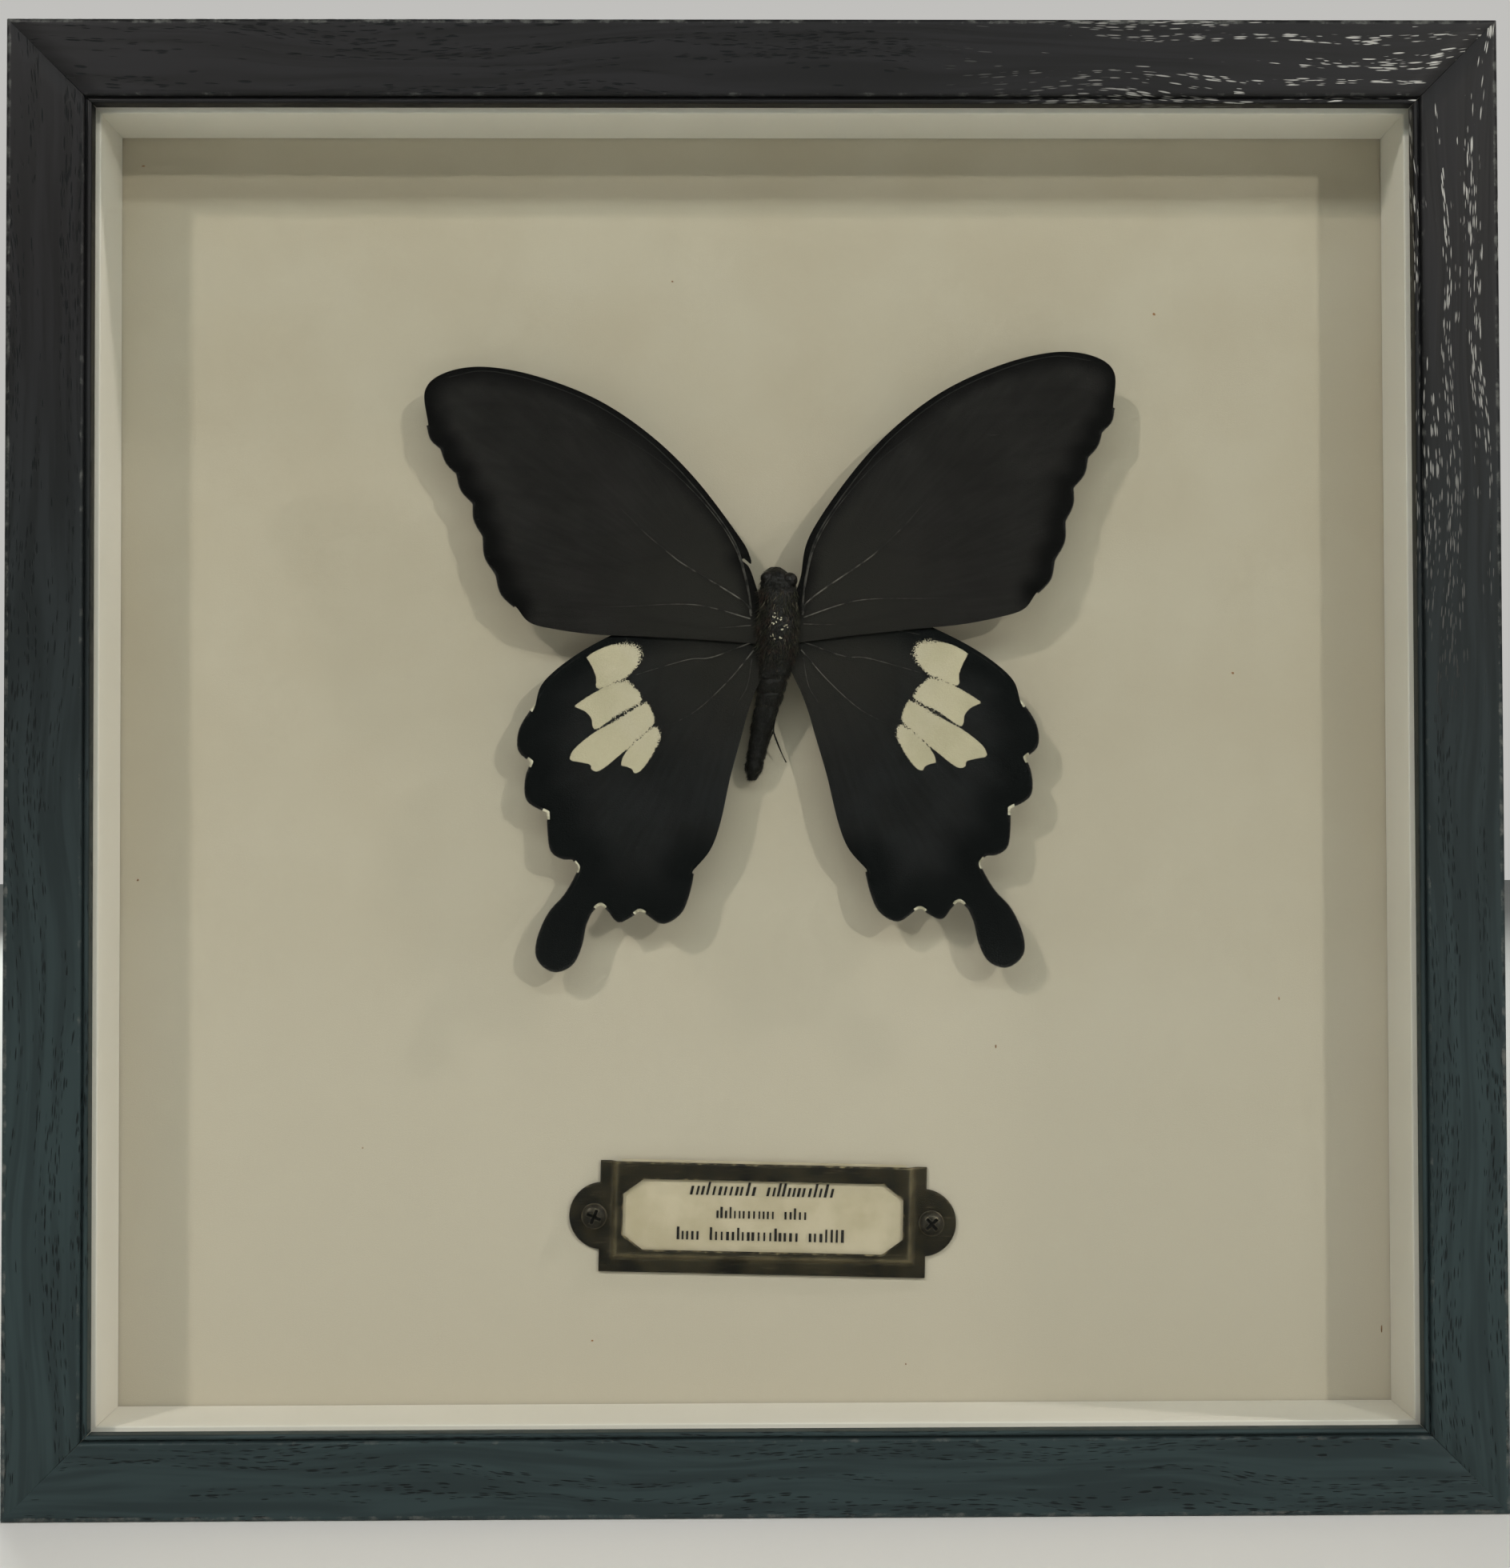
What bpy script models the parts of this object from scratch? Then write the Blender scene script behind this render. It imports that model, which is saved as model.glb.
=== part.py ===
"""Framed swallowtail butterfly in a square shadow box, standing on its bottom rail.

X runs to the right, Z up, and the glass faces -Y. The origin is under the middle of the box.
Sizes below are in millimetres, and every mesh is turned into metres as it is made. Inside the
box, depth is counted from the front face of the rails towards the back.
"""

import math

import bmesh
import bpy
from mathutils import Vector
from mathutils.geometry import delaunay_2d_cdt

MM = 0.001
GAP = 0.3  # clearance between pieces that rest against each other

# The box, as stock moulding: outer side, face width, depth and the rabbet behind the lip.
SIDE = 221.0
RAIL_FACE = 13.0
RAIL_DEPTH = 30.0
LIP_WIDTH = 5.5
LIP_DEPTH = 2.6
SIGHT_HALF = SIDE / 2 - RAIL_FACE
RABBET_HALF = SIGHT_HALF + LIP_WIDTH
LEG_MIDDLE = SIGHT_HALF + (LIP_WIDTH + RAIL_FACE) / 2  # middle of the rail's back face
MITRE_CUT = GAP / math.sqrt(2)  # taken off each end of a bar, along its length

# The moulding's bead, the groove beside it and the eased edges of the face.
BEAD_RADIUS = 0.5
BEAD_DROP = 0.3
GROOVE_DEPTH = 1.1
GROOVE_START = 1.05
GROOVE_END = 1.3
FACE_EASE = 0.4
OUTER_EASE = 0.7

# What lies behind the lip, from front to back.
GLASS_FRONT = LIP_DEPTH + GAP
GLASS_BACK = GLASS_FRONT + 2.0
SPACER_INSET = 0.3
BOARD_FRONT = 18.0
BOARD_BACK = BOARD_FRONT + 3.0
PANEL_FRONT = BOARD_BACK + GAP
PANEL_BACK = PANEL_FRONT + 3.0
SHEET_HALF = RABBET_HALF - 2 * GAP

# Steel tabs that hold the back panel, two to a rail.
TAB_PLACES = (-52.0, 52.0)
TAB_WIDTH = 8.0
TAB_THICK = 0.5
TAB_INWARD = 8.0
TAB_IN_RAIL = 4.0

# Hanger, nails and pads on the back of the rails.
HANGER_HALF = 22.0
HANGER_RAMP = (15.0, 13.0)
HANGER_THICK = 0.7
HANGER_BOW = 0.8
HANGER_TOP = SIDE / 2 - 1.0
HANGER_LOW = SIDE / 2 - 8.8
TOOTH_PITCH = 2.0
TOOTH_DEPTH = 1.2
NAIL_PLACE = 18.5
NAIL_HOLE = 0.9
NAIL_SHANK = 0.6
NAIL_LENGTH = 8.0
PAD_RADIUS = 3.1
PAD_THICK = 1.5
PAD_PLACE = 98.0

BOX_DEPTH = RAIL_DEPTH + GAP + PAD_THICK
FRONT_Y = -BOX_DEPTH / 2

# The butterfly, counted from the middle of its thorax.
THORAX = (3.4, 131.65)
WING_DEPTH = 10.5
WING_THICK = 0.35
WING_DROOP = 1.6
WING_REACH = 64.0
WING_MESH = 5.0
FOREWING_TURN = 1.45
HINDWING_TURN = 0.4
FOREWING_RISE = -0.35
HINDWING_RISE = 0.35
CURVE_STEPS = 3

# Right forewing: stretches between sharp corners, from the front of the root round the wing.
FOREWING = (
    ((3.6, 2.6), (3.8, 7.6), (5.3, 14.0), (11.6, 22.9), (18.2, 29.8), (26.3, 35.6),
     (35.6, 39.6), (43.6, 41.2), (49.6, 40.4), (52.6, 37.8), (52.2, 32.4)),
    ((52.2, 32.4), (51.7, 30.4), (50.2, 28.9)),
    ((50.2, 28.9), (49.5, 26.8), (47.9, 25.0)),
    ((47.9, 25.0), (47.3, 22.5), (45.5, 20.4)),
    ((45.5, 20.4), (45.4, 17.8), (44.1, 15.3)),
    ((44.1, 15.3), (43.9, 12.2), (42.3, 9.4)),
    ((42.3, 9.4), (41.6, 6.5), (39.5, 4.3)),
    ((39.5, 4.3), (37.6, 2.0), (34.0, 0.9), (28.0, -0.1), (21.0, -0.6), (11.0, -1.4), (3.6, -2.2)),
)

# Right hindwing: its front edge lies under the forewing, and a tail stands out at the back.
HINDWING = (
    ((3.7, 0.6), (12.0, 2.6), (19.0, 1.6), (24.0, -0.8), (29.4, -3.6), (33.5, -6.4),
     (36.0, -9.0), (36.9, -12.0)),
    ((36.9, -12.0), (39.1, -15.6), (39.3, -18.7), (37.4, -20.5)),
    ((37.4, -20.5), (38.3, -23.4), (38.0, -26.4), (35.0, -28.2)),
    ((35.0, -28.2), (34.9, -31.4), (34.5, -34.0), (33.0, -35.1), (31.4, -35.2)),
    ((31.4, -35.2), (30.3, -36.6), (31.0, -38.4)),
    ((31.0, -38.4), (32.6, -41.0), (35.0, -43.7), (36.6, -47.2), (36.9, -49.9), (35.8, -51.6),
     (33.9, -52.3), (31.7, -51.2), (30.4, -48.6), (29.7, -45.5), (28.8, -43.4)),
    ((28.8, -43.4), (27.3, -42.2), (25.9, -43.2)),
    ((25.9, -43.2), (24.5, -44.8), (22.6, -44.0)),
    ((22.6, -44.0), (21.4, -43.2), (20.3, -43.6)),
    ((20.3, -43.6), (17.8, -45.1), (15.2, -43.6), (13.9, -40.6), (13.2, -37.4)),
    ((13.2, -37.4), (10.5, -34.2), (8.9, -30.0), (7.4, -23.0), (5.4, -16.4), (4.1, -9.0),
     (3.7, -4.6)),
)

# Body stations from head to tail: across, up, half width, half height, depth of the middle.
# The abdomen leans to the left and sinks towards the board.
BODY = (
    (-0.3, 9.1, 0.8, 0.7, 11.8),
    (-0.3, 8.3, 1.8, 1.5, 11.6),
    (-0.1, 7.2, 2.3, 2.0, 11.4),
    (0.2, 5.8, 2.9, 2.4, 11.3),
    (0.2, 3.4, 3.0, 3.0, 11.4),
    (0.1, 0.0, 3.2, 3.3, 11.5),
    (0.0, -3.2, 3.1, 3.1, 11.7),
    (-0.3, -6.2, 2.7, 2.6, 12.1),
    (-0.9, -9.0, 2.3, 2.3, 12.7),
    (-1.3, -11.2, 2.0, 2.1, 13.2),
    (-2.0, -13.8, 1.8, 1.9, 13.8),
    (-3.1, -19.0, 1.5, 1.6, 14.9),
    (-3.6, -21.7, 1.35, 1.4, 15.5),
    (-3.9, -23.3, 0.6, 0.7, 15.9),
)
BODY_SIDES = 12
BLOCK = (5.0, 9.0)
LEG_ROUTE = (
    (0.35, 14.0, -13.4), (0.1, 14.6, -15.7), (0.35, 15.4, -17.7), (0.9, 16.1, -19.6),
    (1.7, 16.6, -20.6),
)
LEG_RADIUS = 0.16

# The label holder, counted from its middle: a flat flange with two round ears, a raised plate
# that is open at the top, and a window with its corners cut.
LABEL_PLACE = (1.05, 40.9)
LABEL_TURN = 1.5
HOLDER_SHEET = 0.5
HOLDER_BACK = BOARD_FRONT - GAP
HOLDER_FRONT = HOLDER_BACK - 1.6
FLANGE_HALF = (25.1, 8.5)
EAR_PLACE = 24.6
EAR_RADIUS = 5.15
PLATE_HALF_WIDE = 22.9
PLATE_LOW = -6.1
WINDOW_HALF = (21.5, 5.4)
WINDOW_CORNER = (3.1, 2.3)
WINDOW_RISE = 0.5
CARD_HALF_WIDE = 21.9
CARD_ABOVE = 0.3
CARD_THICK = 0.4
SCREW_PLACE = 25.9
SCREW_HEAD = 1.95
SCREW_HOLE = 1.1
SCREW_SHANK = 0.8
CROSS_ARM = (1.15, 0.28)
CROSS_DEPTH = 0.6

# Finishes: colour, roughness, metallic.
BLACK_WOOD = ((0.035, 0.04, 0.042), 0.45, 0.0)
CLEAR_GLASS = ((0.9, 0.95, 0.93), 0.05, 0.0)
WHITE_LINER = ((0.62, 0.62, 0.52), 0.8, 0.0)
PALE_BOARD = ((0.5, 0.46, 0.36), 0.9, 0.0)
FIBREBOARD = ((0.30, 0.19, 0.11), 0.85, 0.0)
STEEL = ((0.55, 0.55, 0.53), 0.4, 1.0)
DARK_RUBBER = ((0.05, 0.05, 0.05), 0.9, 0.0)
WING_BLACK = ((0.016, 0.017, 0.018), 0.6, 0.0)
BODY_BLACK = ((0.03, 0.028, 0.02), 0.6, 0.0)
CORK = ((0.42, 0.28, 0.16), 0.95, 0.0)
DARK_BRONZE = ((0.09, 0.075, 0.045), 0.45, 0.9)
CREAM_CARD = ((0.48, 0.43, 0.3), 0.85, 0.0)


def clear_scene():
    """Removes every object, so that only this model is left."""
    for obj in list(bpy.data.objects):
        bpy.data.objects.remove(obj, do_unlink=True)


def finish(name, look):
    """A plain material for one piece."""
    colour, roughness, metallic = look
    material = bpy.data.materials.new(name)
    material.use_nodes = True
    shader = material.node_tree.nodes["Principled BSDF"]
    shader.inputs["Base Color"].default_value = (*colour, 1.0)
    shader.inputs["Roughness"].default_value = roughness
    shader.inputs["Metallic"].default_value = metallic
    return material


def place(obj, parent, at=(0.0, 0.0, 0.0), turn=0.0):
    """Puts an object under its parent, turned clockwise by some degrees as seen from the front."""
    bpy.context.scene.collection.objects.link(obj)
    obj.parent = parent
    obj.location = Vector(at) * MM
    obj.rotation_euler = (0.0, math.radians(turn), 0.0)
    return obj


def datum(name, across, up, turn=0.0):
    """An empty on the plane of the box's front face."""
    return place(bpy.data.objects.new(name, None), None, (across, FRONT_Y, up), turn)


def piece(name, bm, look, parent, at=(0.0, 0.0, 0.0), turn=0.0):
    """Turns a millimetre mesh into a named piece, with its faces outwards."""
    bmesh.ops.recalc_face_normals(bm, faces=bm.faces)
    bmesh.ops.scale(bm, vec=(MM, MM, MM), verts=bm.verts)
    mesh = bpy.data.meshes.new(name)
    bm.to_mesh(mesh)
    bm.free()
    if look is not None:
        mesh.materials.append(finish(name, look))
    return place(bpy.data.objects.new(name, mesh), parent, at, turn)


def cutter(name, bm, parent, at=(0.0, 0.0, 0.0)):
    """A helper shape that only a Boolean uses."""
    obj = piece(name, bm, None, parent, at)
    obj.hide_render = True
    obj.display_type = "WIRE"
    return obj


def combine(target, other, operation):
    """Adds one Boolean to a piece."""
    modifier = target.modifiers.new(other.name, "BOOLEAN")
    modifier.operation = operation
    modifier.solver = "EXACT"
    modifier.object = other


def arc(across, depth, radius, start, end, steps):
    """Points on an arc. 0 degrees points across, and 90 degrees to the front."""
    points = []
    for step in range(steps + 1):
        angle = math.radians(start + (end - start) * step / steps)
        points.append((across + radius * math.cos(angle), depth - radius * math.sin(angle)))
    return points


def skin_rings(bm, rings):
    """Joins equal rings of points into a closed skin, with a flat face over each end."""
    loops = []
    for ring in rings:
        loops.append([bm.verts.new(point) for point in ring])
    for first, second in zip(loops, loops[1:]):
        for index, corner in enumerate(first):
            after = (index + 1) % len(first)
            bm.faces.new((corner, first[after], second[after], second[index]))
    bm.faces.new(loops[0])
    bm.faces.new(loops[-1])
    return bm


def prism(outline, front, back):
    """An outline of (across, up) points, from one depth to another."""
    rings = []
    for depth in (front, back):
        rings.append([(across, depth, up) for across, up in outline])
    return skin_rings(bmesh.new(), rings)


def rectangle(half_wide, half_high, middle=(0.0, 0.0)):
    """Corners of a rectangle round a middle point."""
    signs = ((-1, -1), (1, -1), (1, 1), (-1, 1))
    return [(middle[0] + x * half_wide, middle[1] + z * half_high) for x, z in signs]


def turned(profile, middle=(0.0, 0.0), sides=20):
    """A round piece whose axis runs front to back. The profile holds (radius, depth)."""
    rings = []
    for radius, depth in profile:
        ring = []
        for side in range(sides):
            angle = 2 * math.pi * side / sides
            ring.append((middle[0] + radius * math.cos(angle), depth,
                         middle[1] + radius * math.sin(angle)))
        rings.append(ring)
    return skin_rings(bmesh.new(), rings)


def mitred_bar(profile):
    """The bottom bar of the square, mitred at both ends. The profile holds (outwards, depth)."""
    rings = []
    for end in (-1, 1):
        ring = []
        for outwards, depth in profile:
            reach = SIGHT_HALF + outwards
            ring.append((end * (reach - MITRE_CUT), depth, -reach))
        rings.append(ring)
    return skin_rings(bmesh.new(), rings)


def four_bars(stem, profile, look, box):
    """One bar on each side of the square: bottom, left, top and right."""
    bars = {}
    for quarter, side in enumerate(("bottom", "left", "top", "right")):
        name = f"{stem}_{side}"
        bars[side] = piece(name, mitred_bar(profile), look, box, turn=90.0 * quarter)
    return bars


def rail_profile():
    """Section of the moulding: bead, groove, flat face, outer side, leg and rabbet."""
    bead_centre = BEAD_DROP + BEAD_RADIUS
    profile = [(0.0, LIP_DEPTH)]
    profile += arc(BEAD_RADIUS, bead_centre, BEAD_RADIUS, 180, 0, 6)
    profile += [(GROOVE_START, GROOVE_DEPTH), (GROOVE_END, GROOVE_DEPTH)]
    profile += arc(GROOVE_END + FACE_EASE, FACE_EASE, FACE_EASE, 180, 90, 3)
    profile += arc(RAIL_FACE - OUTER_EASE, OUTER_EASE, OUTER_EASE, 90, 0, 3)
    profile += [(RAIL_FACE, RAIL_DEPTH), (LIP_WIDTH, RAIL_DEPTH), (LIP_WIDTH, LIP_DEPTH)]
    return profile


def make_rails(box):
    """The four rails, each with two slots for the panel tabs."""
    rails = four_bars("rail", rail_profile(), BLACK_WOOD, box)
    for side, rail in rails.items():
        for number, along in enumerate(TAB_PLACES):
            depth = TAB_IN_RAIL + GAP
            middle = (along, -RABBET_HALF - depth / 2 + GAP)
            outline = rectangle(TAB_WIDTH / 2 + GAP, depth / 2 + GAP, middle)
            slot = prism(outline, PANEL_BACK, PANEL_BACK + TAB_THICK + 2 * GAP)
            combine(rail, cutter(f"slot_{side}_{number}", slot, rail), "DIFFERENCE")
    return rails


def make_spacers(box):
    """White strips between the glass and the board."""
    outer = LIP_WIDTH - GAP
    front = GLASS_BACK + GAP
    back = BOARD_FRONT - GAP
    profile = [(SPACER_INSET, front), (outer, front), (outer, back), (SPACER_INSET, back)]
    four_bars("spacer", profile, WHITE_LINER, box)


def make_sheets(box):
    """Glass, mounting board and back panel. Returns the board."""
    outline = rectangle(SHEET_HALF, SHEET_HALF)
    piece("glass_pane", prism(outline, GLASS_FRONT, GLASS_BACK), CLEAR_GLASS, box)
    piece("back_panel", prism(outline, PANEL_FRONT, PANEL_BACK), FIBREBOARD, box)
    return piece("mounting_board", prism(outline, BOARD_FRONT, BOARD_BACK), PALE_BOARD, box)


def make_tabs(rails):
    """Thin steel tabs in the rails' slots, over the edge of the back panel."""
    number = 0
    front = PANEL_BACK + GAP
    for rail in rails.values():
        for along in TAB_PLACES:
            number += 1
            length = TAB_INWARD + TAB_IN_RAIL
            middle = (along, -RABBET_HALF - TAB_IN_RAIL + length / 2)
            outline = rectangle(TAB_WIDTH / 2, length / 2, middle)
            piece(f"panel_tab_{number}", prism(outline, front, front + TAB_THICK), STEEL, rail)


def hanger_mesh():
    """A strip with flat ends, a bowed middle and teeth along its lower edge."""
    bow_start, bow_end = HANGER_RAMP
    stations = [(-HANGER_HALF, 0.0, 0.0), (-bow_start, 0.0, 0.0)]
    tooth_count = round(2 * bow_end / TOOTH_PITCH)
    for step in range(2 * tooth_count + 1):
        across = -bow_end + step * TOOTH_PITCH / 2
        stations.append((across, HANGER_BOW, TOOTH_DEPTH * (step % 2)))
    stations += [(bow_start, 0.0, 0.0), (HANGER_HALF, 0.0, 0.0)]
    rings = []
    for across, bow, notch in stations:
        front = RAIL_DEPTH + GAP + bow
        back = front + HANGER_THICK
        low = HANGER_LOW + notch
        rings.append([(across, front, low), (across, front, HANGER_TOP),
                      (across, back, HANGER_TOP), (across, back, low)])
    return skin_rings(bmesh.new(), rings)


def make_hanger(box, rail_top):
    """The toothed hanger and its nails, with holes for them in the strip and the rail."""
    hanger = piece("sawtooth_hanger", hanger_mesh(), STEEL, box)
    head_front = RAIL_DEPTH + HANGER_THICK + 2 * GAP
    head_back = BOX_DEPTH
    tip = RAIL_DEPTH - NAIL_LENGTH
    for name, across in (("left", -NAIL_PLACE), ("right", NAIL_PLACE)):
        middle = (across, LEG_MIDDLE)
        hole = turned([(NAIL_HOLE, tip - GAP), (NAIL_HOLE, head_back)], middle, 12)
        bore = cutter(f"nail_hole_{name}", hole, box)
        combine(hanger, bore, "DIFFERENCE")
        combine(rail_top, bore, "DIFFERENCE")
        profile = [(0.15, tip), (NAIL_SHANK, tip + 1.5), (NAIL_SHANK, head_front),
                   (1.4, head_front), (1.4, head_back - 0.15), (1.1, head_back)]
        piece(f"hanger_nail_{name}", turned(profile, middle, 12), STEEL, box)


def make_pads(box):
    """Round pads on the back of the bottom rail."""
    front = RAIL_DEPTH + GAP
    profile = [(PAD_RADIUS, front), (PAD_RADIUS, BOX_DEPTH - 0.3), (PAD_RADIUS - 0.3, BOX_DEPTH)]
    for name, across in (("left", -PAD_PLACE), ("right", PAD_PLACE)):
        piece(f"wall_pad_{name}", turned(profile, (across, -LEG_MIDDLE)), DARK_RUBBER, box)


def smooth(points, steps):
    """A smooth curve through points, without its last one."""
    ends = [2 * Vector(points[0]) - Vector(points[1])]
    ends += [Vector(point) for point in points]
    ends.append(2 * Vector(points[-1]) - Vector(points[-2]))
    curve = []
    for before, start, end, after in zip(ends, ends[1:], ends[2:], ends[3:]):
        for step in range(steps):
            t = step / steps
            bend = (2 * before - 5 * start + 4 * end - after) * t * t
            twist = (3 * start - before - 3 * end + after) * t * t * t
            curve.append((2 * start + (end - before) * t + bend + twist) / 2)
    return curve


def wing_outline(stretches, side):
    """All the stretches of a wing's edge as one loop, mirrored for the left side."""
    loop = []
    for stretch in stretches:
        loop += smooth(stretch, CURVE_STEPS)
    return [Vector((side * point.x, point.y)) for point in loop]


def edge_distance(point, loop):
    """Distance from a point to a closed loop, negative outside it."""
    nearest = math.inf
    inside = False
    for start, end in zip(loop, loop[1:] + loop[:1]):
        along = end - start
        t = max(0.0, min(1.0, (point - start).dot(along) / along.length_squared))
        nearest = min(nearest, (point - start - along * t).length)
        if (start.y > point.y) != (end.y > point.y):
            if point.x < start.x + along.x * (point.y - start.y) / along.y:
                inside = not inside
    return nearest if inside else -nearest


def inner_points(loop, spacing):
    """A triangular grid of points inside a loop, clear of its edge."""
    low = Vector((min(point.x for point in loop), min(point.y for point in loop)))
    high = Vector((max(point.x for point in loop), max(point.y for point in loop)))
    row_height = spacing * math.sqrt(0.75)
    points = []
    for row in range(int((high.y - low.y) / row_height)):
        shift = spacing / 2 * (row % 2)
        for column in range(int((high.x - low.x) / spacing) + 1):
            point = low + Vector((column * spacing + shift, (row + 1) * row_height))
            if edge_distance(point, loop) > spacing / 3:
                points.append(point)
    return points


def wing_depth(point):
    """Depth of a wing's front face: the tips droop towards the board."""
    return WING_DEPTH + WING_DROOP * (point.length / WING_REACH) ** 2


def wing_mesh(stretches, side, layer):
    """A thin wing, filled with triangles. Each layer lies behind the one before."""
    loop = wing_outline(stretches, side)
    flat = loop + inner_points(loop, WING_MESH)
    filled = delaunay_2d_cdt(flat, [], [list(range(len(loop)))], 1, 1e-5)
    points, triangles = filled[0], filled[2]
    bm = bmesh.new()
    sheets = []
    for face in (0.0, WING_THICK):
        offset = face + layer * 2 * WING_THICK
        sheets.append([bm.verts.new((p.x, wing_depth(p) + offset, p.y)) for p in points])
    front, back = sheets
    for a, b, c in triangles:
        bm.faces.new((front[a], front[b], front[c]))
        bm.faces.new((back[c], back[b], back[a]))
    front_edges = [edge for edge in bm.edges if edge.is_boundary and edge.verts[0] in front]
    for edge in front_edges:
        a, b = (front.index(vert) for vert in edge.verts)
        bm.faces.new((front[a], front[b], back[b], back[a]))
    return bm


def make_wings(specimen):
    """Forewings over hindwings, each pair turned a little as it was set."""
    for name, side in (("left", -1), ("right", 1)):
        fore = wing_mesh(FOREWING, side, 0)
        hind = wing_mesh(HINDWING, side, 1)
        fore_at = (0.0, 0.0, FOREWING_RISE)
        hind_at = (0.0, 0.0, HINDWING_RISE)
        piece(f"forewing_{name}", fore, WING_BLACK, specimen, fore_at, -FOREWING_TURN)
        piece(f"hindwing_{name}", hind, WING_BLACK, specimen, hind_at, -HINDWING_TURN)


def make_body(specimen):
    """Head, thorax and abdomen as one smooth form through the stations."""
    rings = []
    for across, up, half_wide, half_high, depth in BODY:
        ring = []
        for side in range(BODY_SIDES):
            angle = 2 * math.pi * side / BODY_SIDES
            ring.append((across + half_wide * math.cos(angle),
                         depth - half_high * math.sin(angle), up))
        rings.append(ring)
    body = piece("butterfly_body", skin_rings(bmesh.new(), rings), BODY_BLACK, specimen)
    body.data.shade_smooth()


def make_leg(specimen):
    """The hind leg that lies beside the abdomen."""
    curve = bpy.data.curves.new("butterfly_leg", "CURVE")
    curve.dimensions = "3D"
    curve.bevel_depth = LEG_RADIUS * MM
    curve.bevel_resolution = 1
    curve.use_fill_caps = True
    curve.materials.append(finish("butterfly_leg", BODY_BLACK))
    spline = curve.splines.new("POLY")
    spline.points.add(len(LEG_ROUTE) - 1)
    for point, (across, depth, up) in zip(spline.points, LEG_ROUTE):
        point.co = (across * MM, depth * MM, up * MM, 1.0)
    place(bpy.data.objects.new("butterfly_leg", curve), specimen)


def make_block(specimen):
    """The small block that carries the body above the board."""
    thorax_back = max(station[4] + station[3] for station in BODY)
    outline = rectangle(BLOCK[0] / 2, BLOCK[1] / 2)
    block = prism(outline, thorax_back + GAP, BOARD_FRONT - GAP)
    piece("specimen_block", block, CORK, specimen)


def octagon(half_wide, half_high, corner_wide, corner_high):
    """A rectangle with its corners cut off."""
    points = []
    for x, z in ((-1, -1), (1, -1), (1, 1), (-1, 1)):
        by_side = (x * half_wide, z * (half_high - corner_high))
        by_end = (x * (half_wide - corner_wide), z * half_high)
        points += [by_side, by_end] if x == z else [by_end, by_side]
    return points


def ear_outline():
    """A flat strip with a round ear at each end."""
    points = []
    for side, start in ((1, -90), (-1, 90)):
        for step in range(17):
            angle = math.radians(start + 180 * step / 16)
            points.append((side * EAR_PLACE + EAR_RADIUS * math.cos(angle),
                           EAR_RADIUS * math.sin(angle)))
    return points


def upright(half_wide, low, high):
    """Corners of a rectangle between two heights."""
    return rectangle(half_wide, (high - low) / 2, (0.0, (high + low) / 2))


def make_holder(label):
    """The pressed label holder: flange, ears, raised plate, card channel and window."""
    top = FLANGE_HALF[1]
    flange_front = HOLDER_BACK - HOLDER_SHEET
    flange = prism(rectangle(*FLANGE_HALF), flange_front, HOLDER_BACK)
    holder = piece("label_holder", flange, DARK_BRONZE, label)
    ears = prism(ear_outline(), flange_front, HOLDER_BACK)
    combine(holder, cutter("ears", ears, label), "UNION")
    plate = prism(upright(PLATE_HALF_WIDE, PLATE_LOW, top), HOLDER_FRONT, HOLDER_BACK)
    combine(holder, cutter("raised_plate", plate, label), "UNION")
    inside = upright(PLATE_HALF_WIDE - HOLDER_SHEET, PLATE_LOW + HOLDER_SHEET, top + 1.0)
    channel = prism(inside, HOLDER_FRONT + HOLDER_SHEET, HOLDER_BACK + 1.0)
    combine(holder, cutter("channel", channel, label), "DIFFERENCE")
    window = prism(octagon(*WINDOW_HALF, *WINDOW_CORNER), HOLDER_FRONT - 1.0, BOARD_FRONT)
    opening = cutter("window", window, label, (0.0, 0.0, WINDOW_RISE))
    combine(holder, opening, "DIFFERENCE")
    return holder


def make_card(label):
    """The card in the holder's channel, a little longer than it."""
    front = HOLDER_FRONT + HOLDER_SHEET + GAP
    low = PLATE_LOW + HOLDER_SHEET + GAP
    outline = upright(CARD_HALF_WIDE, low, FLANGE_HALF[1] + CARD_ABOVE)
    piece("label_card", prism(outline, front, front + CARD_THICK), CREAM_CARD, label)


def make_label_screws(label, holder, board):
    """Two cross-head screws through the ears into the board, and the holes that they use."""
    under_head = HOLDER_BACK - HOLDER_SHEET - GAP
    top = under_head - 1.1
    tip = BOARD_BACK - 0.6
    for name, across in (("left", -SCREW_PLACE), ("right", SCREW_PLACE)):
        middle = (across, 0.0)
        hole = turned([(SCREW_HOLE, top), (SCREW_HOLE, tip + GAP)], middle, 16)
        bore = cutter(f"screw_hole_{name}", hole, label)
        combine(holder, bore, "DIFFERENCE")
        combine(board, bore, "DIFFERENCE")
        profile = [(SCREW_HEAD * 0.55, top), (SCREW_HEAD * 0.9, top + 0.35),
                   (SCREW_HEAD, top + 0.7), (SCREW_HEAD, under_head),
                   (SCREW_SHANK, under_head), (SCREW_SHANK, tip - 1.0), (0.2, tip)]
        screw = piece(f"label_screw_{name}", turned(profile, middle), DARK_BRONZE, label)
        long_arm, short_arm = CROSS_ARM
        for arm, size in (("a", (long_arm, short_arm)), ("b", (short_arm, long_arm))):
            shape = prism(rectangle(*size, middle), top - 1.0, top + CROSS_DEPTH)
            combine(screw, cutter(f"cross_{name}_{arm}", shape, label), "DIFFERENCE")


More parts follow.
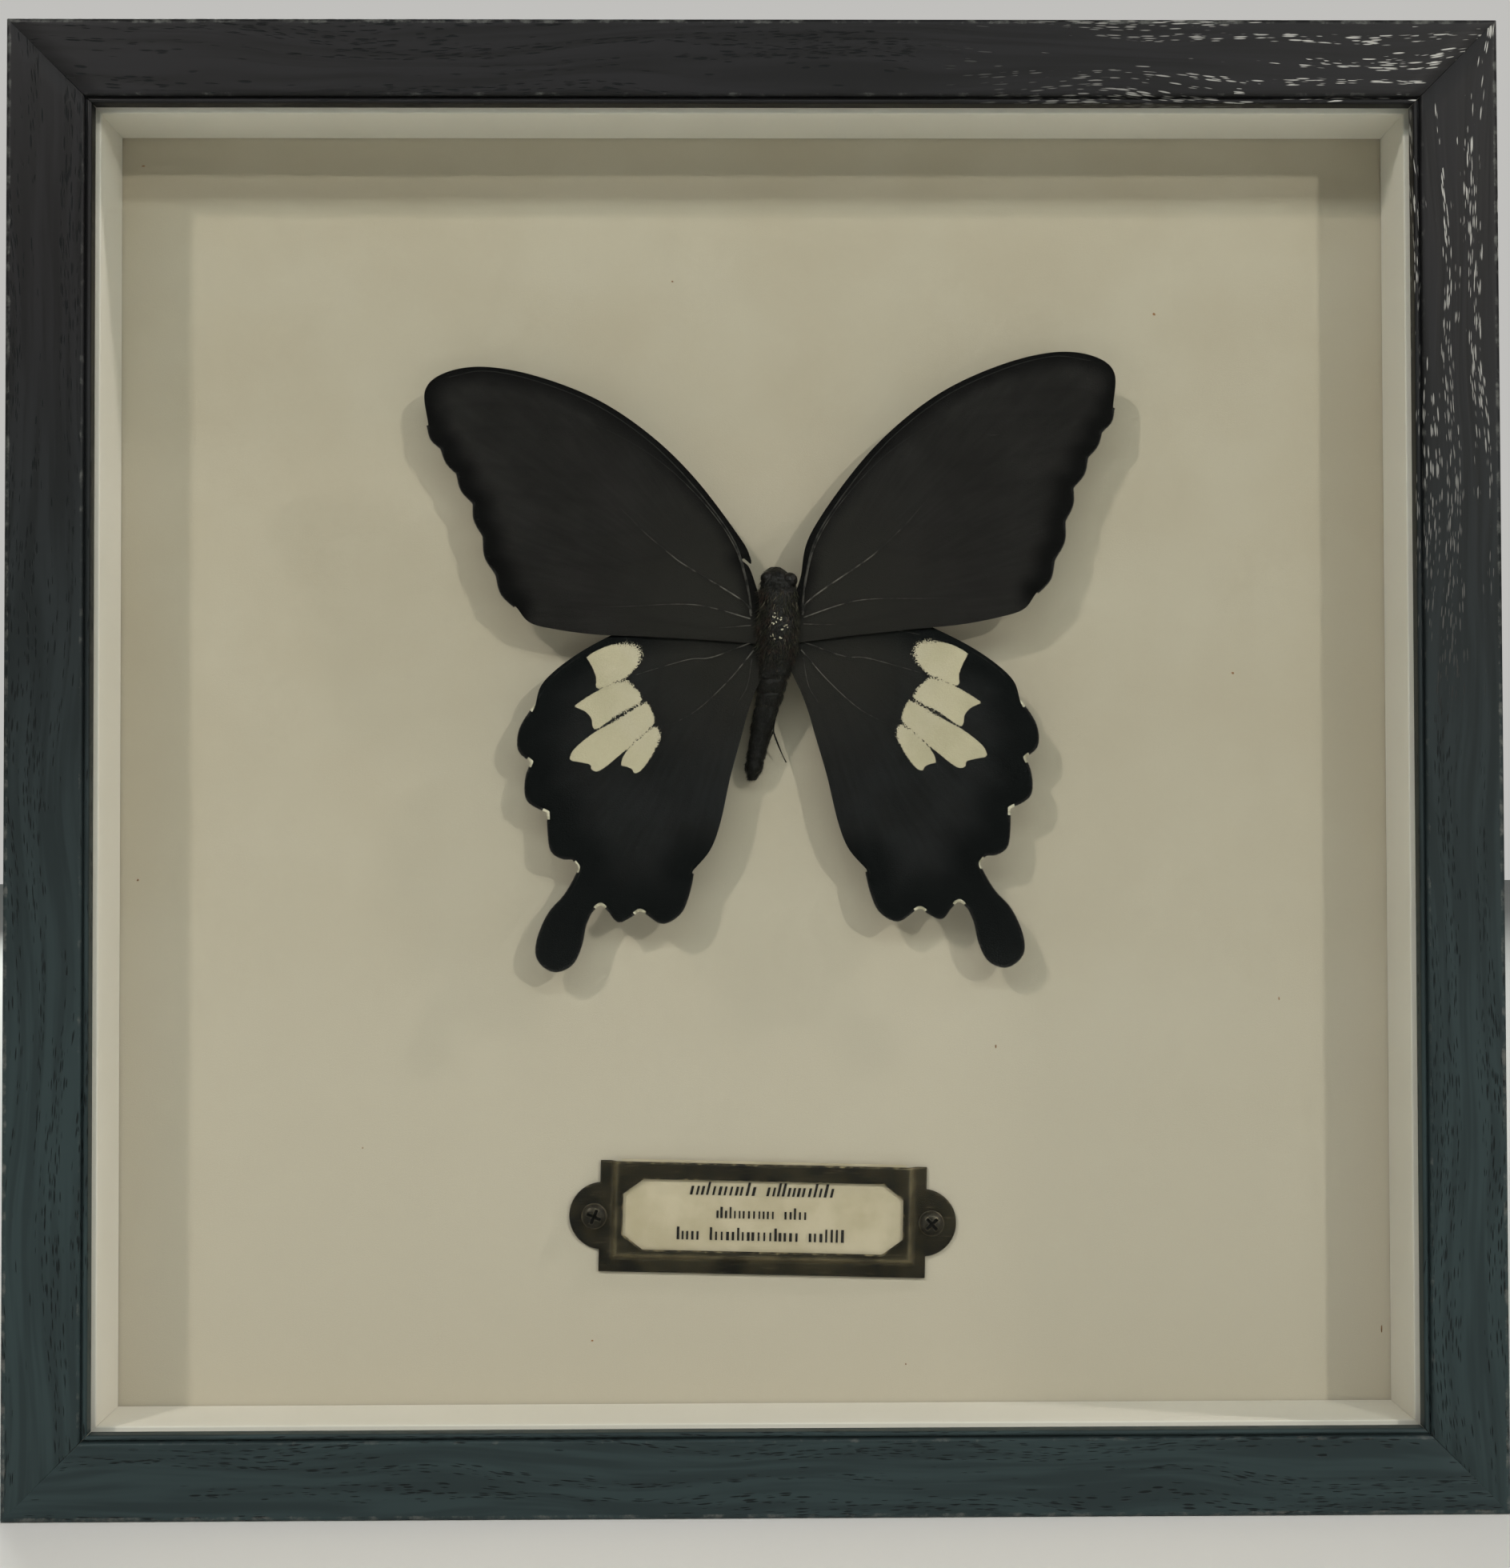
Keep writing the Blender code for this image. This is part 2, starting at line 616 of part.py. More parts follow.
def main():
    """Builds the box, the butterfly and the label."""
    clear_scene()
    box = datum("box_centre", 0.0, SIDE / 2)
    specimen = datum("specimen", *THORAX)
    label = datum("label", *LABEL_PLACE, LABEL_TURN)
    rails = make_rails(box)
    make_spacers(box)
    board = make_sheets(box)
    make_tabs(rails)
    make_hanger(box, rails["top"])
    make_pads(box)
    make_wings(specimen)
    make_body(specimen)
    make_leg(specimen)
    make_block(specimen)
    holder = make_holder(label)
    make_card(label)
    make_label_screws(label, holder, board)


main()
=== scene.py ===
"""Looks for the framed swallowtail in its square shadow box.

Every position starts from the CAD frame. Sizes are in millimetres and become metres as each mesh
is made. Inside the box, depth is counted from the front face of the rails towards the back.
"""

import logging
import math
import random
from collections.abc import Sequence
from dataclasses import dataclass, field
from enum import Enum
from functools import reduce

import bpy
import numpy as np
from mathutils import Matrix, Vector
from mathutils.geometry import delaunay_2d_cdt


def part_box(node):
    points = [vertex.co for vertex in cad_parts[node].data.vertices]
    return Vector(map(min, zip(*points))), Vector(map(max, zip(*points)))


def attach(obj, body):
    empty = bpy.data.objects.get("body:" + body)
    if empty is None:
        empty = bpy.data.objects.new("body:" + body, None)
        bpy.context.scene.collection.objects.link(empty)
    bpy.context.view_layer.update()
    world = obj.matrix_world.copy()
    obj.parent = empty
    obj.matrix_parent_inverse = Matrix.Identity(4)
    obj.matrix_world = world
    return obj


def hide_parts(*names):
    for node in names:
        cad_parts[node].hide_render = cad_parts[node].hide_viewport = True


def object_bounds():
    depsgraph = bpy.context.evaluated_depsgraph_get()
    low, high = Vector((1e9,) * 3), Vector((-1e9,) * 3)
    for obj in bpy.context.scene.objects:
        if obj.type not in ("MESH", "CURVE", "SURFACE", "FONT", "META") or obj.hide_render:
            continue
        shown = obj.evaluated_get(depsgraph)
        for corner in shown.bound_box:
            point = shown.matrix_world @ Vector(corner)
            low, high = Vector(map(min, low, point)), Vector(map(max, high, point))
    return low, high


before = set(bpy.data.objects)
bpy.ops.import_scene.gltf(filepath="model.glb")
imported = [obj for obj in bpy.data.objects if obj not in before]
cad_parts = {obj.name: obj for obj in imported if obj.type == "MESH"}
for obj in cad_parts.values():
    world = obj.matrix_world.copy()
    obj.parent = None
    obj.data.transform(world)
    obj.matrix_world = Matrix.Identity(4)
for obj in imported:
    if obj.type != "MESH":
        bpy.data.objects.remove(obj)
cad_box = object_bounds()

LOG = logging.getLogger("shadow_box")
MM = 0.001
BODY = "root"
LABEL_TURN = 1.5

Array = np.ndarray
Colour = tuple[float, float, float]
Socket = bpy.types.NodeSocket
Value = float | int | bool | str | tuple | Socket | bpy.types.ID
Outputs = bpy.types.NodeOutputs
Mesh = bpy.types.Mesh


def tone(red: int, green: int, blue: int) -> Colour:
    """A linear colour from its usual 0 to 255 screen values."""
    return tuple(((v / 255 + 0.055) / 1.055) ** 2.4 for v in (red, green, blue))


# ---------------------------------------------------------------- flat geometry in millimetres


def curve_through(points: Sequence[Sequence[float]], steps: int, keep_end: bool = True) -> Array:
    """A smooth curve through points.

    Args:
        points: the points, each with the same number of values.
        steps: steps between two points.
        keep_end: whether the last point is kept.

    Returns:
        One row for each point of the curve.
    """
    known = np.array(points, float)
    ends = np.vstack([2 * known[0] - known[1], known, 2 * known[-1] - known[-2]])
    t = (np.arange(steps) / steps)[:, None]
    rows = []
    for a, b, c, d in zip(ends, ends[1:], ends[2:], ends[3:]):
        bend = (2 * a - 5 * b + 4 * c - d) * t**2
        rows.append((2 * b + (c - a) * t + bend + (3 * b - a - 3 * c + d) * t**3) / 2)
    if keep_end:
        rows.append(known[-1:])
    return np.vstack(rows)


def segment_distance(points: Array, starts: Array, ends: Array) -> Array:
    """Distance from each point to the nearest of some segments.

    Args:
        points: rows of (across, up).
        starts: the segments' first points.
        ends: the segments' last points.

    Returns:
        One distance for each point.
    """
    along = ends - starts
    length = np.maximum((along**2).sum(axis=1), 1e-12)
    nearest = np.full(len(points), np.inf)
    for start, step, square in zip(starts, along, length):
        t = np.clip(((points - start) @ step) / square, 0, 1)
        gap = points - start - t[:, None] * step
        nearest = np.minimum(nearest, (gap**2).sum(axis=1))
    return np.sqrt(nearest)


def inside(points: Array, loop: Array) -> Array:
    """Which points lie inside a closed loop.

    Args:
        points: rows of (across, up).
        loop: the loop's corners in order.

    Returns:
        True or False for each point.
    """
    found = np.zeros(len(points), bool)
    x, z = points[:, 0], points[:, 1]
    for (ax, az), (bx, bz) in zip(loop, np.roll(loop, -1, axis=0)):
        if az == bz:
            continue
        crosses = (az > z) != (bz > z)
        found ^= crosses & (x < ax + (bx - ax) * (z - az) / (bz - az))
    return found


def depth_inside(points: Array, loop: Array) -> Array:
    """Distance from each point to a closed loop, positive inside it and negative outside."""
    gap = segment_distance(points, loop, np.roll(loop, -1, axis=0))
    return np.where(inside(points, loop), gap, -gap)


def hex_grid(low: Sequence[float], high: Sequence[float], spacing: float) -> Array:
    """Points of a triangular grid over a rectangle.

    Args:
        low: the rectangle's lowest corner.
        high: its highest corner.
        spacing: distance between neighbours.

    Returns:
        Rows of (across, up).
    """
    rows = []
    step = spacing * math.sqrt(0.75)
    for number, up in enumerate(np.arange(low[1], high[1], step)):
        across = np.arange(low[0] + spacing / 2 * (number % 2), high[0], spacing)
        rows.append(np.column_stack([across, np.full(len(across), up)]))
    return np.vstack(rows)


def fill(loops: list[Array], holes: int, points: Array) -> tuple[Array, Array]:
    """Fills an outline with triangles.

    Args:
        loops: the outer edge, then the holes, then any loops that triangles must follow.
        holes: how many of the loops are holes.
        points: free points inside.

    Returns:
        All points, and triangles that turn the same way as seen from the front.
    """
    edges = []
    start = 0
    for loop in loops:
        count = len(loop)
        edges += [(start + i, start + (i + 1) % count) for i in range(count)]
        start += count
    flat = [Vector(p) for p in np.vstack([*loops, points])]
    filled = delaunay_2d_cdt(flat, edges, [], 0, 1e-6)
    spots = np.array([tuple(v) for v in filled[0]])
    triangles = np.array(filled[2])
    middles = spots[triangles].mean(axis=1)
    kept = inside(middles, loops[0])
    for hole in loops[1 : 1 + holes]:
        kept &= ~inside(middles, hole)
    return spots, triangles[kept]


def offset_loop(loop: Array, distance: float) -> Array:
    """Moves a counter-clockwise loop inwards by a distance.

    Args:
        loop: the loop's corners.
        distance: how far each corner moves, measured across the edges.

    Returns:
        The moved loop.
    """
    before = loop - np.roll(loop, 1, axis=0)
    after = np.roll(loop, -1, axis=0) - loop
    normals = []
    for edge in (before, after):
        edge = edge / np.maximum(np.linalg.norm(edge, axis=1, keepdims=True), 1e-9)
        normals.append(np.column_stack([-edge[:, 1], edge[:, 0]]))
    middle = normals[0] + normals[1]
    middle /= np.maximum(np.linalg.norm(middle, axis=1, keepdims=True), 1e-9)
    lean = np.maximum((middle * normals[0]).sum(axis=1, keepdims=True), 0.5)
    return loop + middle * distance / lean


def rectangle(half_wide: float, low: float, high: float) -> Array:
    """A rectangle that is centred across, counter-clockwise."""
    return np.array([(-half_wide, low), (half_wide, low), (half_wide, high), (-half_wide, high)])


def smoothstep(value: Array, low: float, high: float) -> Array:
    """0 up to low, 1 from high, and smooth between."""
    t = np.clip((value - low) / (high - low), 0, 1)
    return t * t * (3 - 2 * t)


# ---------------------------------------------------------------- from millimetres to pieces


@dataclass(frozen=True)
class Datum:
    """A millimetre frame: across, depth and up, turned about the depth axis."""

    across: float
    front: float
    up: float
    turn: float = 0.0

    def matrix(self) -> Matrix:
        """The matrix from this frame's millimetres to metres in the row frame."""
        place = Matrix.Translation(Vector((self.across, self.front, self.up)) * MM)
        return place @ Matrix.Rotation(math.radians(self.turn), 4, "Y") @ Matrix.Scale(MM, 4)

    def turned(self, degrees: float) -> "Datum":
        """The same frame, turned clockwise as seen from the front."""
        return Datum(self.across, self.front, self.up, self.turn + degrees)


ORIGIN = Datum(0.0, 0.0, 0.0)


@dataclass(frozen=True)
class Layout:
    """The data that the pieces are built round, all read from the CAD boxes."""

    box: Datum
    thorax: Datum
    label: Datum
    half_side: float
    sight_half: float

    @classmethod
    def from_frame(cls) -> "Layout":
        """Reads the CAD boxes.

        Returns:
            The layout.
        """
        low, high = (np.array(corner) / MM for corner in cad_box)
        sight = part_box("rail_bottom")[1][2] / MM
        block, holder = (sum(np.array(corner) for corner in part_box(node)) / 2 / MM
                         for node in ("specimen_block", "label_holder"))
        front = low[1]
        half = (high[0] - low[0]) / 2
        middle = (high[0] + low[0]) / 2
        return cls(Datum(middle, front, half), Datum(block[0], front, block[2]),
                   Datum(holder[0], front, holder[2], LABEL_TURN), half, half - sight)


@dataclass
class Shell:
    """A mesh in the making: millimetre points, faces and values on the points."""

    points: Array
    faces: list[tuple[int, ...]]
    values: dict[str, Array] = field(default_factory=dict)
    grain: Array | None = None

    def join(self, other: "Shell") -> "Shell":
        """Adds another shell.

        Args:
            other: a shell with the same named values.

        Returns:
            This shell.
        """
        shift = len(self.points)
        self.points = np.vstack([self.points, other.points])
        self.faces = self.faces + [tuple(i + shift for i in f) for f in other.faces]
        self.values = {k: np.concatenate([v, other.values[k]]) for k, v in self.values.items()}
        if self.grain is not None:
            self.grain = np.vstack([self.grain, other.grain])
        return self

    def mesh(self, name: str, datum: Datum, sharp: float = 35.0) -> Mesh:
        """Turns the shell into a mesh in the row frame.

        Args:
            name: the mesh's name.
            datum: the frame that the points are in.
            sharp: edges that bend more than this many degrees stay sharp.

        Returns:
            The mesh, in metres.
        """
        mesh = bpy.data.meshes.new(name)
        faces = [tuple(int(i) for i in face) for face in self.faces]
        mesh.from_pydata([tuple(p) for p in self.points.tolist()], [], faces)
        for key, values in self.values.items():
            mesh.attributes.new(key, "FLOAT", "POINT").data.foreach_set("value", values)
        if self.grain is not None:
            corners = np.zeros(len(mesh.loops), np.int32)
            mesh.loops.foreach_get("vertex_index", corners)
            layer = mesh.uv_layers.new(name="grain")
            layer.data.foreach_set("uv", self.grain[corners].astype(np.float32).ravel())
        mesh.transform(datum.matrix())
        mesh.validate()
        mesh.shade_smooth()
        mesh.set_sharp_from_angle(angle=math.radians(sharp))
        return mesh


def between(points: Array, triangles: Array, front: Array, back: Array) -> Shell:
    """A closed sheet between two depths.

    Args:
        points: rows of (across, up).
        triangles: the filling, as seen from the front.
        front: the front depth at each point.
        back: the back depth at each point.

    Returns:
        The sheet, with walls along every open edge.
    """
    count = len(points)
    top = np.column_stack([points[:, 0], front, points[:, 1]])
    under = np.column_stack([points[:, 0], back, points[:, 1]])
    faces = [tuple(t) for t in triangles] + [(t[2] + count, t[1] + count, t[0] + count) for t in triangles]
    directed = {(t[i], t[(i + 1) % 3]) for t in triangles.tolist() for i in range(3)}
    for a, b in sorted(directed):
        if (b, a) not in directed:
            faces.append((b, a, a + count, b + count))
    return Shell(np.vstack([top, under]), faces)


def plate(loop: Array, front: float, back: float) -> Shell:
    """A flat plate with a loop for its outline."""
    points, triangles = fill([loop], 0, loop.mean(axis=0, keepdims=True))
    return between(points, triangles, np.full(len(points), front), np.full(len(points), back))


def circle(radius: float, count: int) -> Array:
    """A circle round the origin, counter-clockwise."""
    angles = np.arange(count) * 2 * math.pi / count
    return radius * np.column_stack([np.cos(angles), np.sin(angles)])


def lathe(profile: Sequence[tuple[float, float]], middle: tuple[float, float], sides: int) -> Shell:
    """A round shell whose axis runs from front to back.

    Args:
        profile: rows of (radius, depth), with the first and last closed by a flat face.
        middle: where the axis stands, (across, up).
        sides: points in each ring.

    Returns:
        The closed shell.
    """
    angles = np.arange(sides) * 2 * math.pi / sides
    rings = []
    for radius, depth in profile:
        rings.append(np.column_stack([middle[0] + radius * np.cos(angles), np.full(sides, depth),
                                      middle[1] + radius * np.sin(angles)]))
    return Shell(np.vstack(rings), ring_faces(len(profile), sides))


def ring_faces(count: int, sides: int) -> list[tuple[int, ...]]:
    """Faces that join rings front to back, with both ends closed.

    Args:
        count: how many rings there are.
        sides: points in each ring, counter-clockwise as seen from the front.

    Returns:
        Quads between the rings and one face over each end.
    """
    faces = [tuple(range(sides))]
    for ring in range(count - 1):
        for side in range(sides):
            after = (side + 1) % sides
            near, far = ring * sides, (ring + 1) * sides
            faces.append((near + after, near + side, far + side, far + after))
    last = (count - 1) * sides
    faces.append(tuple(last + side for side in reversed(range(sides))))
    return faces


def add_piece(mesh: Mesh, material: bpy.types.Material | None,
              nodes: Sequence[str] = ()) -> bpy.types.Object:
    """Makes a finished mesh one piece of the object.

    Args:
        mesh: the mesh, in metres in the row frame.
        material: its finish, or None where the mesh has its own.
        nodes: the CAD nodes that it stands for.

    Returns:
        The piece.
    """
    if material is not None:
        mesh.materials.clear()
        mesh.materials.append(material)
    piece = bpy.data.objects.new(mesh.name, mesh)
    bpy.context.scene.collection.objects.link(piece)
    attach(piece, BODY)
    if nodes:
        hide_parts(*nodes)
    LOG.info("%s: %d faces", piece.name, len(mesh.polygons))
    return piece


def dress(node: str, material: bpy.types.Material) -> None:
    """Gives a CAD node its finish."""
    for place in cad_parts[node].material_slots:
        place.material = material
    LOG.info("%s: CAD shape, %s", node, material.name)


# ---------------------------------------------------------------- wiring of nodes


class Graph:
    """Wires the nodes of one tree. An input takes a number, a tuple or another node's socket."""

    def __init__(self, tree: bpy.types.NodeTree) -> None:
        """Starts wiring in a tree."""
        self.tree = tree

    def feed(self, socket: Socket, value: Value) -> None:
        """Links a socket into an input, or sets the input's own value.

        Args:
            socket: the input.
            value: a socket or a plain value.
        """
        if isinstance(value, Socket):
            self.tree.links.new(value, socket)
        elif socket.type == "RGBA" and len(value) == 3:
            socket.default_value = (*value, 1.0)
        else:
            socket.default_value = value

    def node(self, kind: str, inputs: dict[str | int, Value] | None = None,
             **settings: Value) -> bpy.types.Node:
        """Adds a node.

        Args:
            kind: the node's type.
            inputs: values or sockets for its inputs, by name or number.
            settings: the node's own properties.

        Returns:
            The node.
        """
        node = self.tree.nodes.new(kind)
        for key, value in settings.items():
            setattr(node, key, value)
        for key, value in (inputs or {}).items():
            self.feed(node.inputs[key], value)
        return node

    def math(self, operation: str, first: Value, second: Value) -> Socket:
        """One Math node's result."""
        return self.node("ShaderNodeMath", {0: first, 1: second}, operation=operation).outputs[0]

    def times(self, first: Value, second: Value) -> Socket:
        """The product of two values."""
        return self.math("MULTIPLY", first, second)

    def plus(self, first: Value, second: Value) -> Socket:
        """The sum of two values."""
        return self.math("ADD", first, second)

    def minus(self, first: Value, second: Value) -> Socket:
        """The first value less the second."""
        return self.math("SUBTRACT", first, second)

    def ratio(self, first: Value, second: Value) -> Socket:
        """The first value over the second."""
        return self.math("DIVIDE", first, second)

    def joined(self, first: Value, second: Value) -> Socket:
        """The sum of two vectors."""
        return self.node("ShaderNodeVectorMath", {0: first, 1: second}, operation="ADD").outputs[0]

    def scaled(self, vector: Value, scale: Value) -> Socket:
        """A vector times a number."""
        return self.node("ShaderNodeVectorMath", {0: vector, "Scale": scale}, operation="SCALE").outputs[0]

    def step(self, value: Value, low: Value, high: Value, start: Value = 0.0, end: Value = 1.0) -> Socket:
        """A smooth step from start to end as value goes from low to high."""
        inputs = {"Value": value, "From Min": low, "From Max": high, "To Min": start, "To Max": end}
        return self.node("ShaderNodeMapRange", inputs, interpolation_type="SMOOTHSTEP").outputs[0]

    def blend(self, share: Value, first: Value, second: Value) -> Socket:
        """A mix of two colours."""
        return self.node("ShaderNodeMix", {0: share, 6: first, 7: second}, data_type="RGBA").outputs[2]

    def stretch(self, vector: Value, scale: Colour, shift: Colour = (0.0, 0.0, 0.0)) -> Socket:
        """A vector that is scaled and shifted."""
        return self.node("ShaderNodeMapping", {"Vector": vector, "Scale": scale,
                                               "Location": shift}).outputs[0]

    def noise(self, vector: Value, scale: Value = 1.0, detail: float = 2.0, rough: float = 0.5,
              distort: float = 0.0) -> Socket:
        """The value of a noise texture."""
        inputs = {"Vector": vector, "Scale": scale, "Detail": detail, "Roughness": rough,
                  "Distortion": distort}
        return self.node("ShaderNodeTexNoise", inputs).outputs[0]

    def cells(self, vector: Value, scale: Value = 1.0, random_share: float = 1.0) -> bpy.types.Node:
        """A cell texture, with the distance and colour of the nearest cell."""
        return self.node("ShaderNodeTexVoronoi", {"Vector": vector, "Scale": scale,
                                                  "Randomness": random_share})

    def attribute(self, name: str) -> Socket:
        """A value that the mesh carries on its points."""
        return self.node("ShaderNodeAttribute", attribute_name=name).outputs["Fac"]

    def carried(self, name: str) -> Socket:
        """A value on the points of the mesh that a geometry tree starts from."""
        return self.node("GeometryNodeInputNamedAttribute", {"Name": name}, data_type="FLOAT").outputs[0]

    def split(self, vector: Value) -> bpy.types.Node:
        """The three values of a vector."""
        return self.node("ShaderNodeSeparateXYZ", {0: vector})

    def place_mm(self) -> Socket:
        """The place on the object, in millimetres."""
        spot = self.node("ShaderNodeTexCoord").outputs["Object"]
        return self.stretch(spot, (1 / MM, 1 / MM, 1 / MM))

    def relief(self, height: Value, depth_mm: float, strength: float = 1.0) -> Socket:
        """A normal from a height, where a height of 1 stands for depth_mm."""
        inputs = {"Height": height, "Distance": depth_mm * MM, "Strength": strength}
        return self.node("ShaderNodeBump", inputs).outputs[0]


FLOAT = "NodeSocketFloat"
VECTOR = "NodeSocketVector"


class Effect:
    """A shader node group that several finishes place. It is built once."""

    name = ""
    takes: tuple[tuple[str, str, Value], ...] = ()
    gives: tuple[str, ...] = ()

    def place(self, graph: Graph, **values: Value) -> dict[str, Socket]:
        """Places the group in a material.

        Args:
            graph: the material's wiring.
            values: the group's inputs, by name.

        Returns:
            The group's outputs, by name.
        """
        tree = bpy.data.node_groups.get(self.name) or self.build()
        node = graph.node("ShaderNodeGroup", node_tree=tree)
        for key, value in values.items():
            graph.feed(node.inputs[key], value)
        return {output.name: output for output in node.outputs}

    def build(self) -> bpy.types.NodeTree:
        """Builds the group.

        Returns:
            The group.
        """
        tree = bpy.data.node_groups.new(self.name, "ShaderNodeTree")
        for key, kind, value in self.takes:
            socket = tree.interface.new_socket(name=key, in_out="INPUT", socket_type=kind)
            socket.default_value = value
        for key in self.gives:
            tree.interface.new_socket(name=key, in_out="OUTPUT", socket_type=FLOAT)
        graph = Graph(tree)
        start = graph.node("NodeGroupInput").outputs
        end = graph.node("NodeGroupOutput").inputs
        for key, value in self.wire(graph, start).items():
            graph.feed(end[key], value)
        return tree

    def wire(self, graph: Graph, start: Outputs) -> dict[str, Value]:
        """Wires the effect and returns its outputs by name."""
        raise NotImplementedError


class OpenGrain(Effect):
    """Grain of a coarse hardwood: long growth lines with short open pores in them."""

    name = "open_grain"
    takes = (("Vector", VECTOR, (0.0, 0.0, 0.0)), ("Coarse", FLOAT, 1.0))
    gives = ("Lines", "Pores", "Glint", "Height")

    def wire(self, graph: Graph, start: Outputs) -> dict[str, Value]:
        """Wires lines that wander along the first axis, and pores in the coarser ones.

        Args:
            graph: the graph to wire in.
            start: the group's inputs.

        Returns:
            The outputs by name.
        """
        vector, coarse = start["Vector"], start["Coarse"]
        wander = graph.noise(graph.stretch(vector, (0.018, 0.075, 1.0)), 1.0, 1.0)
        sway = graph.times(graph.minus(wander, 0.5), 9.0)
        swayed = graph.joined(vector, graph.node("ShaderNodeCombineXYZ", {1: sway}).outputs[0])
        lines = graph.noise(graph.stretch(swayed, (0.03, 0.6, 1.0)), 1.0, 2.0, 0.55)
        bands = graph.noise(graph.stretch(swayed, (0.012, 0.36, 1.0), (3.1, 5.7, 0.0)), 1.0, 1.0, 0.5)
        pore = graph.cells(graph.stretch(swayed, (0.42, 4.2, 1.0)), 1.0, 0.8)
        chance = graph.split(pore.outputs["Color"])
        reach = graph.times(graph.plus(chance.outputs[1], 0.5), coarse)
        gap = graph.ratio(pore.outputs["Distance"], reach)
        opened = graph.math("GREATER_THAN", chance.outputs[0], graph.step(bands, 0.47, 0.58, 0.98, 0.1))
        pores = graph.times(graph.step(gap, 0.42, 0.2), opened)
        # Glint is the pore mask that the finish paints pale as highlights.
        glint = graph.times(graph.step(gap, 0.42, 0.26), opened)
        raised = graph.times(lines, 0.35)
        height = graph.minus(raised, graph.times(pores, 0.6))
        return {"Lines": lines, "Pores": pores, "Glint": glint, "Height": height}


class EdgeWear(Effect):
    """Rubbed places along an edge that the mesh marks with a value from 0 to 1."""

    name = "edge_wear"
    takes = (("Vector", VECTOR, (0.0, 0.0, 0.0)), ("Edge", FLOAT, 0.0), ("Amount", FLOAT, 0.5),
             ("Size", FLOAT, 1.0))
    gives = ("Mask",)

    def wire(self, graph: Graph, start: Outputs) -> dict[str, Value]:
        """Wires patches of wear that keep to the edge.

        Args:
            graph: the graph to wire in.
            start: the group's inputs.

        Returns:
            The outputs by name.
        """
        scale = graph.ratio(1.0, start["Size"])
        patch = graph.noise(start["Vector"], scale, 4.0, 0.65)
        reach = graph.times(start["Edge"], start["Amount"])
        total = graph.plus(reach, graph.minus(patch, 0.5))
        return {"Mask": graph.times(graph.step(total, 0.36, 0.62), start["Edge"])}


class Dust(Effect):
    """Fine specks with a spacing and a size of their own."""

    name = "dust_specks"
    takes = (("Vector", VECTOR, (0.0, 0.0, 0.0)), ("Spacing", FLOAT, 3.0), ("Share", FLOAT, 0.1),
             ("Size", FLOAT, 0.1))
    gives = ("Mask",)

    def wire(self, graph: Graph, start: Outputs) -> dict[str, Value]:
        """Wires one speck in some of the cells.

        Args:
            graph: the graph to wire in.
            start: the group's inputs.

        Returns:
            The outputs by name.
        """
        cell = graph.cells(start["Vector"], graph.ratio(1.0, start["Spacing"]))
        chance = graph.split(cell.outputs["Color"])
        radius = graph.ratio(graph.times(start["Size"], chance.outputs[1]), start["Spacing"])
        speck = graph.step(cell.outputs["Distance"], radius, graph.times(radius, 0.6))
        shown = graph.math("LESS_THAN", chance.outputs[0], start["Share"])
        return {"Mask": graph.times(speck, shown)}


class Mottle(Effect):
    """Cloudy patches with a little fine tooth, for paper, cork, patina and plain surfaces."""

    name = "mottle"
    takes = (("Vector", VECTOR, (0.0, 0.0, 0.0)), ("Size", FLOAT, 10.0), ("Tooth", FLOAT, 0.4))
    gives = ("Cloud", "Grit")

    def wire(self, graph: Graph, start: Outputs) -> dict[str, Value]:
        """Wires large soft clouds and small grit.

        Args:
            graph: the graph to wire in.
            start: the group's inputs.

        Returns:
            The outputs by name.
        """
        cloud = graph.noise(start["Vector"], graph.ratio(1.0, start["Size"]), 3.0, 0.55)
        grit = graph.noise(start["Vector"], graph.ratio(1.0, start["Tooth"]), 2.0, 0.7)
        return {"Cloud": cloud, "Grit": grit}


class ScaleRows(Effect):
    """Rows of overlapping wing scales."""

    name = "scale_rows"
    takes = (("Vector", VECTOR, (0.0, 0.0, 0.0)), ("Length", FLOAT, 0.22))
    gives = ("Tone", "Height")

    def wire(self, graph: Graph, start: Outputs) -> dict[str, Value]:
        """Wires one tone and one small slope for each scale.

        Args:
            graph: the graph to wire in.
            start: the group's inputs.

        Returns:
            The outputs by name.
        """
        scale = graph.ratio(1.0, start["Length"])
        cell = graph.cells(start["Vector"], scale, 0.8)
        tones = graph.split(cell.outputs["Color"])
        height = graph.minus(tones.outputs[1], cell.outputs["Distance"])
        return {"Tone": tones.outputs[0], "Height": height}


# ---------------------------------------------------------------- finishes


@dataclass(frozen=True)
class Finish:
    """A material that is built once and shared by name."""

    name: str

    def material(self) -> bpy.types.Material:
        """Builds the material, or finds it where it is built already.

        Returns:
            The material.
        """
        name = f"{self.name}_finish"
        found = bpy.data.materials.get(name)
        if found is not None:
            return found
        material = bpy.data.materials.new(name)
        material.use_nodes = True
        material.node_tree.nodes.clear()
        graph = Graph(material.node_tree)
        graph.node("ShaderNodeOutputMaterial", {"Surface": self.surface(graph)})
        return material

    def surface(self, graph: Graph) -> Socket:
        """Wires the shader and returns it."""
        raise NotImplementedError

    @staticmethod
    def principled(graph: Graph, **inputs: Value) -> Socket:
        """A Principled shader; an input's name has _ for its spaces."""
        named = {key.replace("_", " "): value for key, value in inputs.items()}
        return graph.node("ShaderNodeBsdfPrincipled", named).outputs[0]


